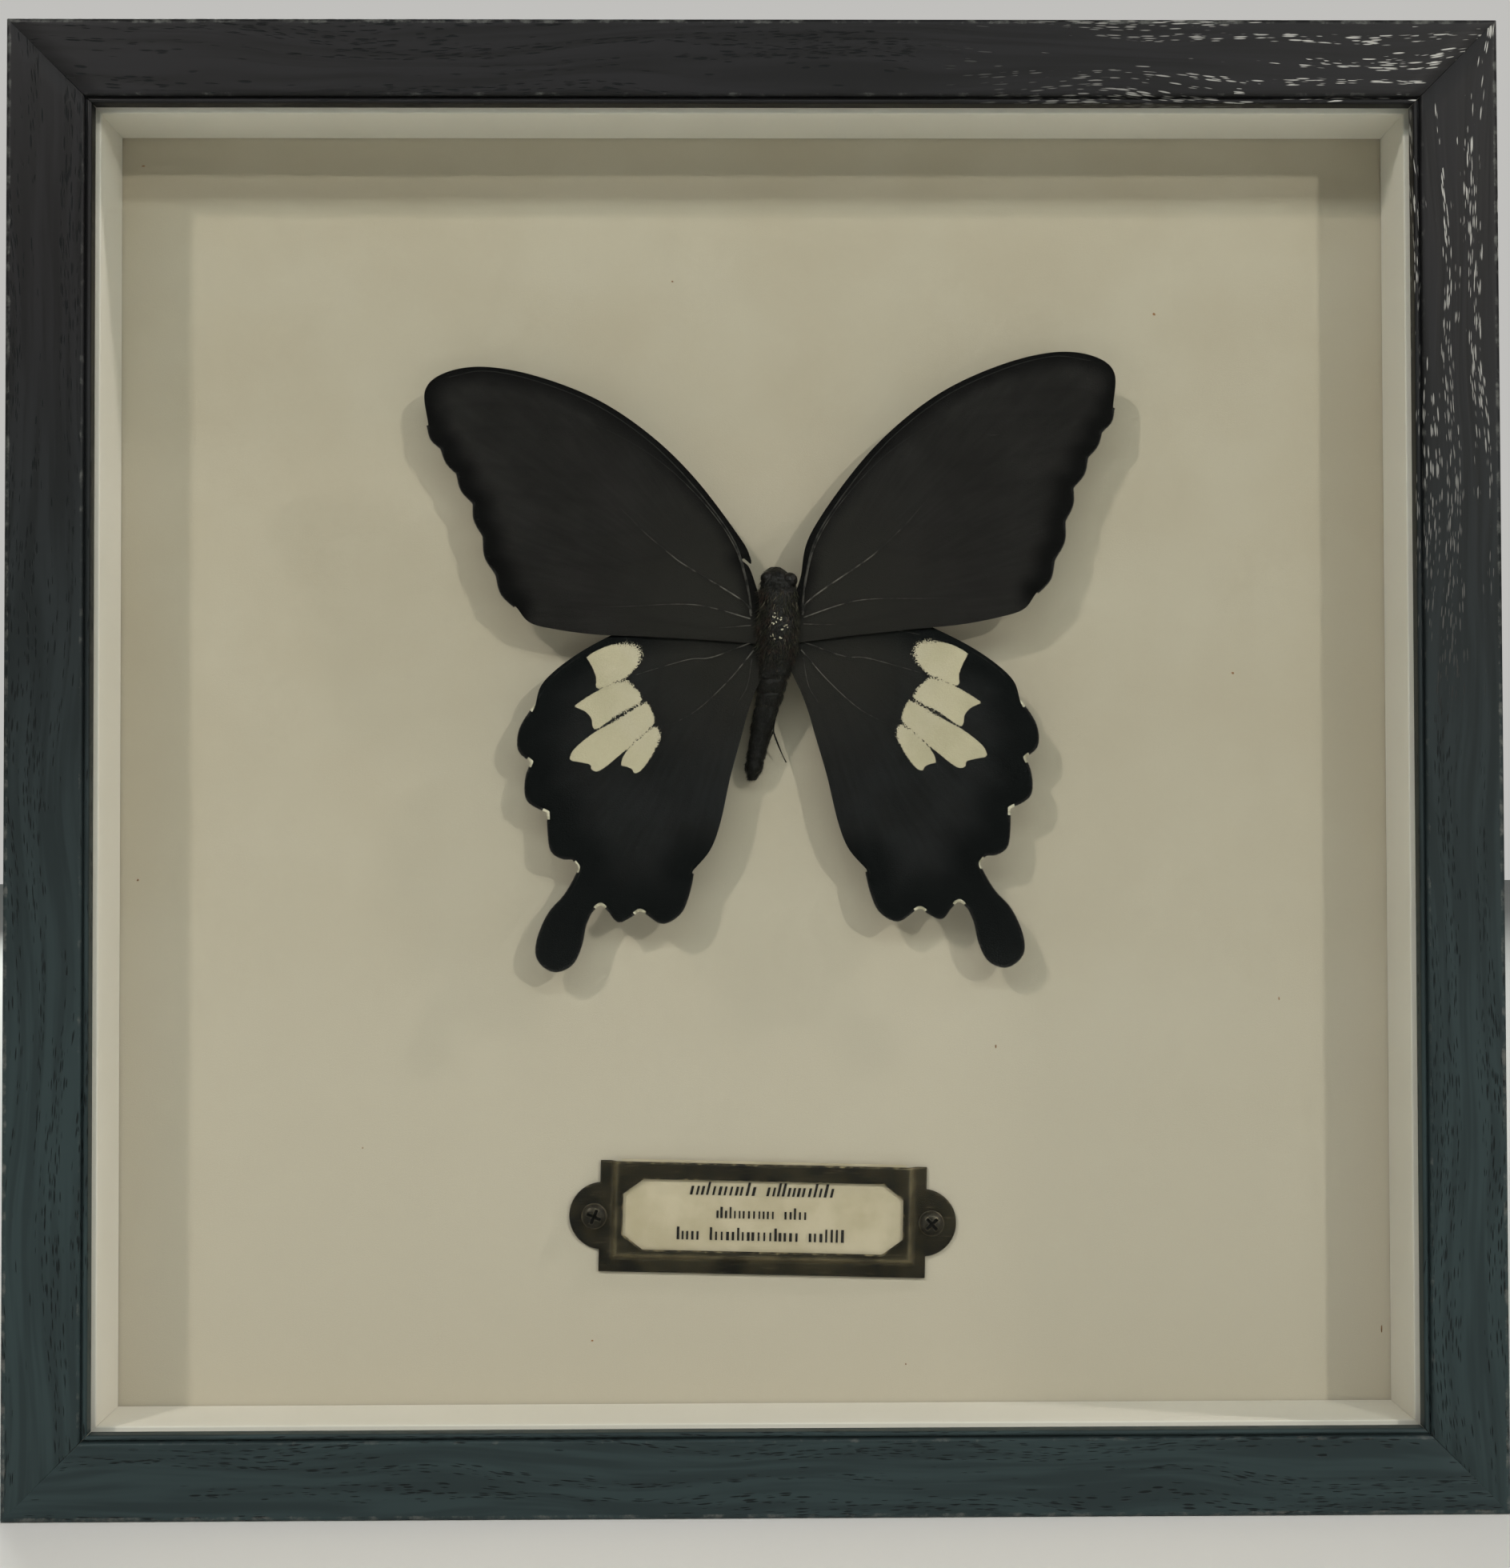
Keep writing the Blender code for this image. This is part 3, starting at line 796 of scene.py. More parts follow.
@dataclass(frozen=True)
class BlackWood(Finish):
    """Open-grained hardwood under a thin black satin stain."""

    stain: Colour = tone(26, 26, 26)
    ridge: Colour = tone(31, 31, 32)
    pore: Colour = tone(13, 18, 19)
    # Lighter teal tones for the lower rails: a painted reflection of the pale floor.
    reflected_floor_stain: Colour = tone(40, 51, 52)
    reflected_floor_ridge: Colour = tone(47, 60, 61)
    rubbed: Colour = tone(96, 98, 94)
    # Pale colour of the painted glints in the pores.
    glint: Colour = tone(196, 196, 190)
    # Heights over which the painted floor reflection comes in.
    reflected_floor_rise: tuple[float, float] = (190.0, 40.0)
    # Across and up spans of the corner where glints are painted.
    glint_across: tuple[float, float] = (20.0, 90.0)
    glint_up: tuple[float, float] = (110.0, 200.0)

    def surface(self, graph: Graph) -> Socket:
        """Wires grain along each rail, rubbed edges, a painted floor reflection in teal on the lower rails,
        painted glints at one corner and a satin gloss.

        Args:
            graph: the graph to wire in.

        Returns:
            The shader's output.
        """
        grain = OpenGrain().place(graph, Vector=graph.node("ShaderNodeUVMap", uv_map="grain").outputs[0])
        place = graph.place_mm()
        spot = graph.split(place)
        # Painted reflection of the pale floor: the rails turn a lighter teal towards the bottom.
        low = graph.step(spot.outputs[2], *self.reflected_floor_rise)
        edge = graph.attribute("arris")
        wear = EdgeWear().place(graph, Vector=place, Edge=edge, Amount=0.42, Size=2.2)["Mask"]
        tint = graph.step(grain["Lines"], 0.38, 0.62)
        high_tone = graph.blend(tint, self.stain, self.ridge)
        reflected_floor_tone = graph.blend(tint, self.reflected_floor_stain, self.reflected_floor_ridge)
        base = graph.blend(low, high_tone, reflected_floor_tone)
        base = graph.blend(graph.times(grain["Pores"], 0.85), base, self.pore)
        base = graph.blend(graph.times(wear, 0.75), base, self.rubbed)
        # Painted glints: in the upper right corner the pores take the pale glint colour, as highlights of
        # the light from that side.
        across = graph.step(spot.outputs[0], *self.glint_across)
        corner = graph.times(across, graph.step(spot.outputs[2], *self.glint_up))
        painted_glints = graph.times(grain["Glint"], graph.times(corner, 0.85))
        base = graph.blend(painted_glints, base, self.glint)
        rough = graph.plus(graph.times(grain["Lines"], 0.25), 0.28)
        rough = graph.plus(rough, graph.times(grain["Pores"], 0.2))
        normal = graph.relief(grain["Height"], 0.14, 0.8)
        return self.principled(graph, Base_Color=base, Roughness=rough, Normal=normal,
                               Specular_IOR_Level=0.13)


@dataclass(frozen=True)
class ClearGlass(Finish):
    """Low-reflection picture glass, clear from the front and brighter at a low angle."""

    straight: float = 0.004

    def surface(self, graph: Graph) -> Socket:
        """Wires a clear pane with a gloss that grows with the angle, and faint smears.

        Args:
            graph: the graph to wire in.

        Returns:
            The shader's output.
        """
        facing = graph.node("ShaderNodeLayerWeight", {"Blend": 0.5}).outputs["Facing"]
        rise = graph.math("POWER", facing, 5.0)
        share = graph.plus(graph.times(rise, 0.6), self.straight)
        smear = Mottle().place(graph, Vector=graph.place_mm(), Size=60.0, Tooth=2.0)
        rough = graph.step(smear["Cloud"], 0.3, 0.8, 0.02, 0.09)
        clear = graph.node("ShaderNodeBsdfTransparent", {"Color": (0.985, 0.995, 0.985)}).outputs[0]
        gloss = graph.node("ShaderNodeBsdfGlossy", {"Color": (0.95, 1.0, 0.98), "Roughness": rough})
        pane = graph.node("ShaderNodeMixShader", {0: share, 1: clear, 2: gloss.outputs[0]}).outputs[0]
        seen = graph.node("ShaderNodeLightPath").outputs["Is Camera Ray"]
        return graph.node("ShaderNodeMixShader", {0: seen, 1: clear, 2: pane}).outputs[0]


@dataclass(frozen=True)
class PaperFace(Finish):
    """Uncoated paper or board: soft clouds, fine tooth and a few specks."""

    pale: Colour = tone(183, 175, 157)
    deep: Colour = tone(178, 169, 150)
    speck: Colour = tone(120, 104, 80)
    cloud: float = 26.0
    tooth: float = 0.35
    relief_mm: float = 0.02
    specks: float = 0.05
    # Colour and heights of painted light that brightens the lower part of a board.
    painted_light_foot: Colour | None = None
    painted_light_rise: tuple[float, float] = (150.0, 10.0)

    def surface(self, graph: Graph) -> Socket:
        """Wires the paper's tone, its specks and its tooth, and painted light that brightens the lower part
        where a colour for it is given.

        Args:
            graph: the graph to wire in.

        Returns:
            The shader's output.
        """
        place = graph.place_mm()
        paper = Mottle().place(graph, Vector=place, Size=self.cloud, Tooth=self.tooth)
        specks = Dust().place(graph, Vector=place, Spacing=4.0, Share=self.specks, Size=0.16)["Mask"]
        base = graph.blend(graph.step(paper["Cloud"], 0.3, 0.7), self.deep, self.pale)
        if self.painted_light_foot is not None:
            # Painted light: the paper turns lighter towards the bottom, as if more light reached it from
            # below.
            low = graph.step(graph.split(place).outputs[2], *self.painted_light_rise)
            base = graph.blend(low, base, self.painted_light_foot)
        base = graph.blend(graph.times(paper["Grit"], 0.10), base, self.speck)
        base = graph.blend(graph.times(specks, 0.5), base, self.speck)
        rough = graph.plus(graph.times(paper["Grit"], 0.15), 0.75)
        normal = graph.relief(paper["Grit"], self.relief_mm)
        return self.principled(graph, Base_Color=base, Roughness=rough, Normal=normal,
                               Specular_IOR_Level=0.25)


@dataclass(frozen=True)
class Fibreboard(Finish):
    """Brown hardboard with short fibres on its face."""

    deep: Colour = tone(122, 86, 54)
    pale: Colour = tone(150, 110, 72)
    fibre: Colour = tone(96, 66, 42)
    chip: Colour = tone(176, 140, 98)

    def surface(self, graph: Graph) -> Socket:
        """Wires fibres that lie in all directions over a clouded brown.

        Args:
            graph: the graph to wire in.

        Returns:
            The shader's output.
        """
        place = graph.place_mm()
        board = Mottle().place(graph, Vector=place, Size=14.0, Tooth=0.8)
        fibre = graph.noise(graph.stretch(place, (1.4, 1.4, 0.5)), 1.0, 6.0, 0.75, 1.6)
        chips = Dust().place(graph, Vector=place, Spacing=2.2, Share=0.35, Size=0.5)["Mask"]
        base = graph.blend(graph.step(board["Cloud"], 0.3, 0.7), self.deep, self.pale)
        base = graph.blend(graph.step(fibre, 0.42, 0.66), base, self.fibre)
        base = graph.blend(graph.times(chips, 0.5), base, self.chip)
        normal = graph.relief(graph.plus(fibre, board["Grit"]), 0.06)
        return self.principled(graph, Base_Color=base, Roughness=0.8, Normal=normal)


@dataclass(frozen=True)
class Metal(Finish):
    """Plain or patinated metal, brighter where it is rubbed, with painted highlight and painted shade where
    a mesh marks them.
    """

    dark: Colour = tone(120, 120, 116)
    light: Colour = tone(176, 176, 170)
    rubbed: Colour = tone(200, 200, 192)
    metallic: float = 1.0
    rough: tuple[float, float] = (0.3, 0.5)
    wear: float = 0.4
    cloud: float = 5.0
    # Painted shade for the floor of a recess.
    recess_shade: Colour = tone(5, 5, 4)

    def surface(self, graph: Graph) -> Socket:
        """Wires patches of tone, fine scratches, worn edges, a painted highlight along a bend and painted
        shade in a recess.

        Args:
            graph: the graph to wire in.

        Returns:
            The shader's output.
        """
        place = graph.place_mm()
        skin = Mottle().place(graph, Vector=place, Size=self.cloud, Tooth=0.3)
        edge = graph.attribute("arris")
        wear = EdgeWear().place(graph, Vector=place, Edge=edge, Amount=self.wear, Size=0.9)["Mask"]
        scratch = graph.noise(graph.stretch(place, (0.35, 2.0, 7.0)), 1.0, 3.0, 0.7)
        lines = graph.step(scratch, 0.58, 0.72)
        base = graph.blend(graph.step(skin["Cloud"], 0.32, 0.68), self.dark, self.light)
        base = graph.blend(graph.times(lines, 0.25), base, self.rubbed)
        # Painted highlight: the rubbed colour laid as a broken line along the bend of the pressed step,
        # where light catches it.
        broken = graph.step(skin["Cloud"], 0.25, 0.7, 0.25, 0.8)
        fold = graph.times(graph.attribute("fold"), broken)
        base = graph.blend(fold, base, self.rubbed)
        base = graph.blend(wear, base, self.rubbed)
        low, high = self.rough
        rough = graph.step(skin["Cloud"], 0.3, 0.7, high, low)
        rough = graph.minus(rough, graph.times(wear, 0.1))
        normal = graph.relief(graph.minus(skin["Grit"], lines), 0.02)
        # Painted shade: the floor of the screw's cross recess turns near black.
        sunk = graph.times(graph.attribute("sunk"), 0.9)
        base = graph.blend(sunk, base, self.recess_shade)
        return self.principled(graph, Base_Color=base, Roughness=rough, Metallic=self.metallic,
                               Normal=normal, Specular_IOR_Level=0.3)


@dataclass(frozen=True)
class Rubber(Finish):
    """Dull black rubber with a bloom on it."""

    black: Colour = tone(38, 38, 38)
    bloom: Colour = tone(66, 66, 64)

    def surface(self, graph: Graph) -> Socket:
        """Wires a grey bloom and a fine pitted skin.

        Args:
            graph: the graph to wire in.

        Returns:
            The shader's output.
        """
        skin = Mottle().place(graph, Vector=graph.place_mm(), Size=1.6, Tooth=0.25)
        base = graph.blend(graph.step(skin["Cloud"], 0.4, 0.75), self.black, self.bloom)
        rough = graph.step(skin["Grit"], 0.3, 0.7, 0.75, 0.95)
        return self.principled(graph, Base_Color=base, Roughness=rough,
                               Normal=graph.relief(skin["Grit"], 0.05))


@dataclass(frozen=True)
class WingScales(Finish):
    """Dull black wing scales with cream patches and a darker rim."""

    field_dark: Colour = tone(25, 24, 23)
    field_light: Colour = tone(35, 34, 33)
    root: Colour = tone(35, 34, 31)
    rim: Colour = tone(6, 6, 5)
    rim_reach: tuple[float, float] = (5.2, 1.6)
    cream: Colour = tone(185, 177, 154)
    scale: Colour = tone(44, 42, 39)
    thin_cream: Colour = tone(181, 173, 142)
    worn_cream: Colour = tone(170, 163, 137)
    cream_scale: Colour = tone(148, 139, 113)
    fleck: Colour = tone(150, 148, 140)

    def surface(self, graph: Graph) -> Socket:
        """Wires the dark field, its rays, its rim, the patches and their powdered edges.

        Args:
            graph: the graph to wire in.

        Returns:
            The shader's output.
        """
        place = graph.place_mm()
        scales = ScaleRows().place(graph, Vector=place, Length=0.2)
        cloud = graph.noise(place, 1 / 7.0, 2.0, 0.55)
        vein = graph.attribute("vein")
        reach = graph.attribute("reach")
        ray = graph.node("ShaderNodeCombineXYZ", {0: graph.times(graph.attribute("fan"), 0.9),
                                                  1: graph.times(reach, 0.12)}).outputs[0]
        streak = graph.noise(ray, 1.0, 3.0, 0.6)
        light = graph.plus(graph.times(graph.step(streak, 0.35, 0.7), 0.5),
                           graph.times(graph.step(cloud, 0.35, 0.7), 0.5))
        base = graph.blend(light, self.field_dark, self.field_light)
        base = graph.blend(graph.step(reach, 30.0, 7.0), base, self.root)
        base = graph.blend(graph.times(scales["Tone"], 0.2), base, self.scale)
        base = graph.blend(graph.step(vein, 0.7, 0.1, 0.0, 0.12), base, self.rim)
        soft = graph.plus(graph.attribute("rim"), graph.times(cloud, 1.2))
        base = graph.blend(graph.step(soft, *self.rim_reach), base, self.rim)
        grain = graph.noise(place, 4.5, 3.0, 0.7)
        powder = graph.attribute("powder")
        swing = graph.plus(0.22, graph.times(powder, 4.4))
        shift = graph.times(graph.minus(grain, 0.5), swing)
        edge = graph.plus(graph.attribute("cream"), shift)
        patch = graph.step(edge, -0.06, 0.06)
        pale = graph.blend(graph.step(powder, 0.5, 0.02, 0.0, 0.4), self.cream, self.thin_cream)
        pale = graph.blend(graph.step(cloud, 0.45, 0.7, 0.0, 0.6), pale, self.worn_cream)
        pale = graph.blend(graph.times(scales["Tone"], 0.14), pale, self.cream_scale)
        base = graph.blend(patch, base, pale)
        flecks = Dust().place(graph, Vector=place, Spacing=2.6, Share=0.10, Size=0.16)["Mask"]
        base = graph.blend(graph.times(flecks, 0.5), base, self.fleck)
        rough = graph.plus(graph.times(scales["Tone"], 0.2), 0.6)
        normal = graph.relief(graph.plus(scales["Height"], streak), 0.03, 0.8)
        return self.principled(graph, Base_Color=base, Roughness=rough, Normal=normal,
                               Specular_IOR_Level=0.06, Sheen_Weight=0.01, Sheen_Roughness=0.5)


@dataclass(frozen=True)
class VeinSkin(Finish):
    """Horny veins, rubbed grey near the wing's root."""

    dark: Colour = tone(22, 21, 20)
    light: Colour = tone(32, 31, 29)
    rubbed: Colour = tone(112, 109, 102)

    def surface(self, graph: Graph) -> Socket:
        """Wires dark skin with paler rubbed lengths.

        Args:
            graph: the graph to wire in.

        Returns:
            The shader's output.
        """
        place = graph.place_mm()
        lengths = graph.noise(place, 0.5, 3.0, 0.6)
        rub = graph.times(graph.attribute("rub"), graph.step(lengths, 0.36, 0.6))
        base = graph.blend(graph.step(lengths, 0.3, 0.7), self.dark, self.light)
        base = graph.blend(rub, base, self.rubbed)
        fine = graph.noise(place, 6.0, 2.0, 0.6)
        return self.principled(graph, Base_Color=base, Roughness=graph.step(fine, 0.3, 0.7, 0.5, 0.7),
                               Normal=graph.relief(fine, 0.02), Specular_IOR_Level=0.15)


@dataclass(frozen=True)
class Hair(Finish):
    """Fine scales and hair of the body, each with a tone of its own."""

    deep: Colour = tone(27, 26, 21)
    light: Colour = tone(64, 61, 50)
    stray: Colour = tone(126, 118, 100)
    black: Colour = tone(9, 9, 8)
    brown: Colour = tone(60, 38, 32)
    olive: Colour = tone(46, 48, 30)
    tail_end: tuple[float, float] = (-10.0, -16.0)
    head_end: tuple[float, float] = (5.0, 6.2)
    middle: float = 0.0

    def surface(self, graph: Graph) -> Socket:
        """Wires the hair's own tone over patches of olive and brown.

        Args:
            graph: the graph to wire in.

        Returns:
            The shader's output.
        """
        place = graph.place_mm()
        own = graph.attribute("own_tone")
        cloud = graph.noise(place, 0.55, 2.0, 0.5)
        base = graph.blend(graph.step(own, 0.2, 0.9), self.deep, self.light)
        base = graph.blend(graph.step(cloud, 0.5, 0.62, 0.0, 0.5), base, self.brown)
        base = graph.blend(graph.step(cloud, 0.5, 0.36, 0.0, 0.5), base, self.olive)
        base = graph.blend(graph.step(own, 0.965, 0.975), base, self.stray)
        up = graph.minus(graph.split(place).outputs[2], self.middle)
        ends = graph.math("MAXIMUM", graph.step(up, *self.tail_end), graph.step(up, *self.head_end))
        base = graph.blend(graph.times(ends, 0.92), base, self.black)
        return self.principled(graph, Base_Color=base, Roughness=graph.step(own, 0.0, 1.0, 0.45, 0.7),
                               Specular_IOR_Level=0.2)


@dataclass(frozen=True)
class Horn(Finish):
    """Hard glossy skin of the head, thorax, abdomen and legs."""

    deep: Colour = tone(8, 8, 7)
    light: Colour = tone(18, 18, 15)
    rough: tuple[float, float] = (0.3, 0.55)
    pits: float = 1.8

    def surface(self, graph: Graph) -> Socket:
        """Wires a pitted dark skin with a broken gloss.

        Args:
            graph: the graph to wire in.

        Returns:
            The shader's output.
        """
        place = graph.place_mm()
        skin = Mottle().place(graph, Vector=place, Size=1.4, Tooth=0.35)
        pit = graph.cells(place, self.pits).outputs["Distance"]
        base = graph.blend(graph.step(skin["Cloud"], 0.35, 0.7), self.deep, self.light)
        rough = graph.step(skin["Grit"], 0.35, 0.65, *self.rough)
        height = graph.plus(pit, skin["Grit"])
        return self.principled(graph, Base_Color=base, Roughness=rough, Specular_IOR_Level=0.2,
                               Normal=graph.relief(height, 0.10))


@dataclass(frozen=True)
class CompoundEye(Finish):
    """A glossy eye of many small facets."""

    deep: Colour = tone(7, 6, 5)
    light: Colour = tone(20, 17, 14)

    def surface(self, graph: Graph) -> Socket:
        """Wires facets over a dark brown.

        Args:
            graph: the graph to wire in.

        Returns:
            The shader's output.
        """
        place = graph.place_mm()
        facet = graph.cells(place, 9.0, 0.4)
        base = graph.blend(graph.split(facet.outputs["Color"]).outputs[0], self.deep, self.light)
        rough = graph.step(facet.outputs["Distance"], 0.0, 0.5, 0.14, 0.35)
        return self.principled(graph, Base_Color=base, Roughness=rough, Specular_IOR_Level=0.2,
                               Normal=graph.relief(facet.outputs["Distance"], 0.03))


@dataclass(frozen=True)
class StageFloor(Finish):
    """A plain pale studio floor."""

    deep: Colour = (0.76, 0.77, 0.74)
    pale: Colour = (0.79, 0.80, 0.77)

    def surface(self, graph: Graph) -> Socket:
        """Wires a pale tone with a very faint cloud.

        Args:
            graph: the graph to wire in.

        Returns:
            The shader's output.
        """
        cloud = graph.noise(graph.node("ShaderNodeTexCoord").outputs["Object"], 3.0, 3.0)
        base = graph.blend(graph.step(cloud, 0.3, 0.7), self.deep, self.pale)
        return self.principled(graph, Base_Color=base, Roughness=0.9)


def spare(mesh: Mesh) -> bpy.types.Object:
    """An object that only lends its mesh to a tree or a cut.

    Args:
        mesh: the mesh.

    Returns:
        The object that carries the copy.
    """
    lent = bpy.data.objects.new(mesh.name, mesh)
    bpy.context.scene.collection.objects.link(lent)
    return lent


def drop(lent: bpy.types.Object) -> None:
    """Removes a lent object and its mesh.

    Args:
        lent: the object.
    """
    mesh = lent.data
    bpy.data.objects.remove(lent)
    bpy.data.meshes.remove(mesh)


# ---------------------------------------------------------------- Geometry Nodes


class Growth:
    """A Geometry Nodes tree that turns one mesh into repeated or swept parts."""

    name = ""
    takes: tuple[tuple[str, str], ...] = ()

    def apply(self, source: Mesh, **values: Value) -> Mesh:
        """Runs the tree on a mesh.

        Args:
            source: the mesh that the tree starts from.
            values: the tree's inputs, by name.

        Returns:
            A plain mesh.
        """
        tree = bpy.data.node_groups.get(self.name) or self.build()
        holder = bpy.data.objects.new(self.name, source)
        bpy.context.scene.collection.objects.link(holder)
        modifier = holder.modifiers.new(self.name, "NODES")
        modifier.node_group = tree
        for item in tree.interface.items_tree:
            if item.in_out == "INPUT" and item.name in values:
                modifier[item.identifier] = values[item.name]
        graph = bpy.context.evaluated_depsgraph_get()
        result = bpy.data.meshes.new_from_object(holder.evaluated_get(graph), depsgraph=graph)
        holder.modifiers.remove(modifier)
        drop(holder)
        return result

    def build(self) -> bpy.types.NodeTree:
        """Builds the tree.

        Returns:
            The node tree.
        """
        tree = bpy.data.node_groups.new(self.name, "GeometryNodeTree")
        tree.interface.new_socket(name="Geometry", in_out="INPUT", socket_type="NodeSocketGeometry")
        for key, kind in (*self.takes, ("Material", "NodeSocketMaterial")):
            tree.interface.new_socket(name=key, in_out="INPUT", socket_type=kind)
        tree.interface.new_socket(name="Geometry", in_out="OUTPUT", socket_type="NodeSocketGeometry")
        graph = Graph(tree)
        start = graph.node("NodeGroupInput").outputs
        grown = self.wire(graph, start)
        plain = graph.node("GeometryNodeRealizeInstances", {0: grown}).outputs[0]
        dressed = graph.node("GeometryNodeSetMaterial", {0: plain, "Material": start["Material"]})
        graph.node("NodeGroupOutput", {0: dressed.outputs[0]})
        return tree

    def wire(self, graph: Graph, start: Outputs) -> Socket:
        """Wires the growing part and returns its geometry."""
        raise NotImplementedError


class Tubes(Growth):
    """A tube along every line of a mesh, as thick as the mesh says at each point."""

    name = "tubes_on_lines"
    takes = (("Sides", "NodeSocketInt"), ("Thickness", "NodeSocketFloat"))

    def wire(self, graph: Graph, start: Outputs) -> Socket:
        """Wires the sweep.

        Args:
            graph: the graph to wire in.
            start: the group's inputs.

        Returns:
            The grown geometry.
        """
        lines = graph.node("GeometryNodeMeshToCurve", {0: start["Geometry"]}).outputs[0]
        ring = graph.node("GeometryNodeCurvePrimitiveCircle",
                          {"Resolution": start["Sides"], "Radius": start["Thickness"]}).outputs[0]
        width = graph.carried("width")
        return graph.node("GeometryNodeCurveToMesh", {"Curve": lines, "Profile Curve": ring,
                                                      "Scale": width, "Fill Caps": True}).outputs[0]


class Fur(Growth):
    """Hairs on a skin, combed one way and lifted off it."""

    name = "fur_on_skin"
    takes = (("Hair", "NodeSocketObject"), ("Density", "NodeSocketFloat"), ("Comb", "NodeSocketVector"),
             ("Lift", "NodeSocketFloat"), ("Stray", "NodeSocketFloat"), ("Seed", "NodeSocketInt"))

    def wire(self, graph: Graph, start: Outputs) -> Socket:
        """Wires the roots, the lie of each hair and its length.

        Args:
            graph: the graph to wire in.
            start: the group's inputs.

        Returns:
            The grown geometry.
        """
        coat, length = graph.carried("coat"), graph.carried("length")
        density = graph.times(start["Density"], coat)
        roots = graph.node("GeometryNodeDistributePointsOnFaces",
                           {"Mesh": start["Geometry"], "Density": density, "Seed": start["Seed"]})
        chance = graph.node("FunctionNodeRandomValue", {0: (-1.0, -1.0, -1.0), 1: (1.0, 1.0, 1.0),
                                                        "Seed": start["Seed"]}, data_type="FLOAT_VECTOR")
        lift = graph.scaled(roots.outputs["Normal"], start["Lift"])
        stray = graph.scaled(chance.outputs[0], start["Stray"])
        way = graph.joined(graph.joined(start["Comb"], lift), stray)
        lie = graph.node("FunctionNodeAlignRotationToVector", {"Vector": way}, axis="Z").outputs[0]
        spread = graph.node("FunctionNodeRandomValue", {2: 0.55, 3: 1.25}, data_type="FLOAT").outputs[1]
        size = graph.times(spread, length)
        hairs = graph.node("GeometryNodeInstanceOnPoints", {
            "Points": roots.outputs["Points"], "Rotation": lie, "Scale": size,
            "Instance": graph.node("GeometryNodeObjectInfo", {0: start["Hair"]}).outputs["Geometry"]})
        dice = graph.node("FunctionNodeRandomValue", {2: 0.0, 3: 1.0, "Seed": 5}, data_type="FLOAT")
        named = {0: hairs.outputs[0], "Name": "own_tone", "Value": dice.outputs[1]}
        return graph.node("GeometryNodeStoreNamedAttribute", named, data_type="FLOAT",
                          domain="INSTANCE").outputs[0]


class Copies(Growth):
    """One part repeated at every point of a mesh, turned as the point says."""

    name = "copies_on_points"
    takes = (("Part", "NodeSocketObject"),)

    def wire(self, graph: Graph, start: Outputs) -> Socket:
        """Wires the copies.

        Args:
            graph: the graph to wire in.
            start: the group's inputs.

        Returns:
            The grown geometry.
        """
        turn = graph.node("ShaderNodeCombineXYZ", {1: graph.carried("spin")}).outputs[0]
        part = graph.node("GeometryNodeObjectInfo", {0: start["Part"]}).outputs["Geometry"]
        spots = graph.node("GeometryNodeMeshToPoints", {"Mesh": start["Geometry"]}).outputs[0]
        return graph.node("GeometryNodeInstanceOnPoints", {"Points": spots, "Instance": part,
                                                           "Rotation": turn}).outputs[0]


def line_mesh(name: str, lines: Sequence[Array], datum: Datum,
              values: dict[str, Sequence[Array]]) -> Mesh:
    """Lines of points as edges, for a tree to sweep.

    Args:
        name: the mesh's name.
        lines: each line's points, (across, depth, up) in millimetres.
        datum: the frame that the points are in.
        values: values for each line's points, by name.

    Returns:
        The mesh, in metres.
    """
    edges = []
    start = 0
    for line in lines:
        edges += [(start + i, start + i + 1) for i in range(len(line) - 1)]
        start += len(line)
    mesh = bpy.data.meshes.new(name)
    mesh.from_pydata([tuple(p) for p in np.vstack(lines).tolist()], edges, [])
    for key, rows in values.items():
        mesh.attributes.new(key, "FLOAT", "POINT").data.foreach_set("value", np.concatenate(rows))
    mesh.transform(datum.matrix())
    return mesh


def sweep_tubes(name: str, lines: Sequence[Array], datum: Datum, values: dict[str, Sequence[Array]],
                sides: int, finish: Finish, nodes: Sequence[str] = ()) -> None:
    """Sweeps tubes along lines, as one piece.

    Args:
        name: the piece's name.
        lines: each line's points, (across, depth, up) in millimetres.
        datum: the frame that the points are in.
        values: the width and the rub at each line's points.
        sides: faces round each tube.
        finish: the tubes' finish.
        nodes: the CAD nodes that the piece stands for.
    """
    mesh = line_mesh(name, lines, datum, values)
    tubes = Tubes().apply(mesh, Sides=sides, Thickness=MM, Material=finish.material())
    tubes.name = name
    tubes.shade_smooth()
    add_piece(tubes, None, nodes)


def place_copies(name: str, part: Mesh, spots: Array, spins: Array, datum: Datum, finish: Finish,
                 nodes: Sequence[str] = ()) -> None:
    """Repeats one part at many places, as one piece.

    Args:
        name: the piece's name.
        part: the part, at the origin.
        spots: its places, (across, depth, up) in millimetres.
        spins: its turn at each place, in radians about the depth axis.
        datum: the frame that the places are in.
        finish: the part's finish.
        nodes: the CAD nodes that the piece stands for.
    """
    mesh = line_mesh(f"{name}_places", [spots], datum, {"spin": [spins]})
    lent = spare(part)
    copies = Copies().apply(mesh, Part=lent, Material=finish.material())
    drop(lent)
    copies.name = name
    add_piece(copies, None, nodes)


# ---------------------------------------------------------------- the box


class Quarter(Enum):
    """The sides of the square, by the quarter turns from the bottom one."""

    BOTTOM = 0
    LEFT = 1
    TOP = 2
    RIGHT = 3


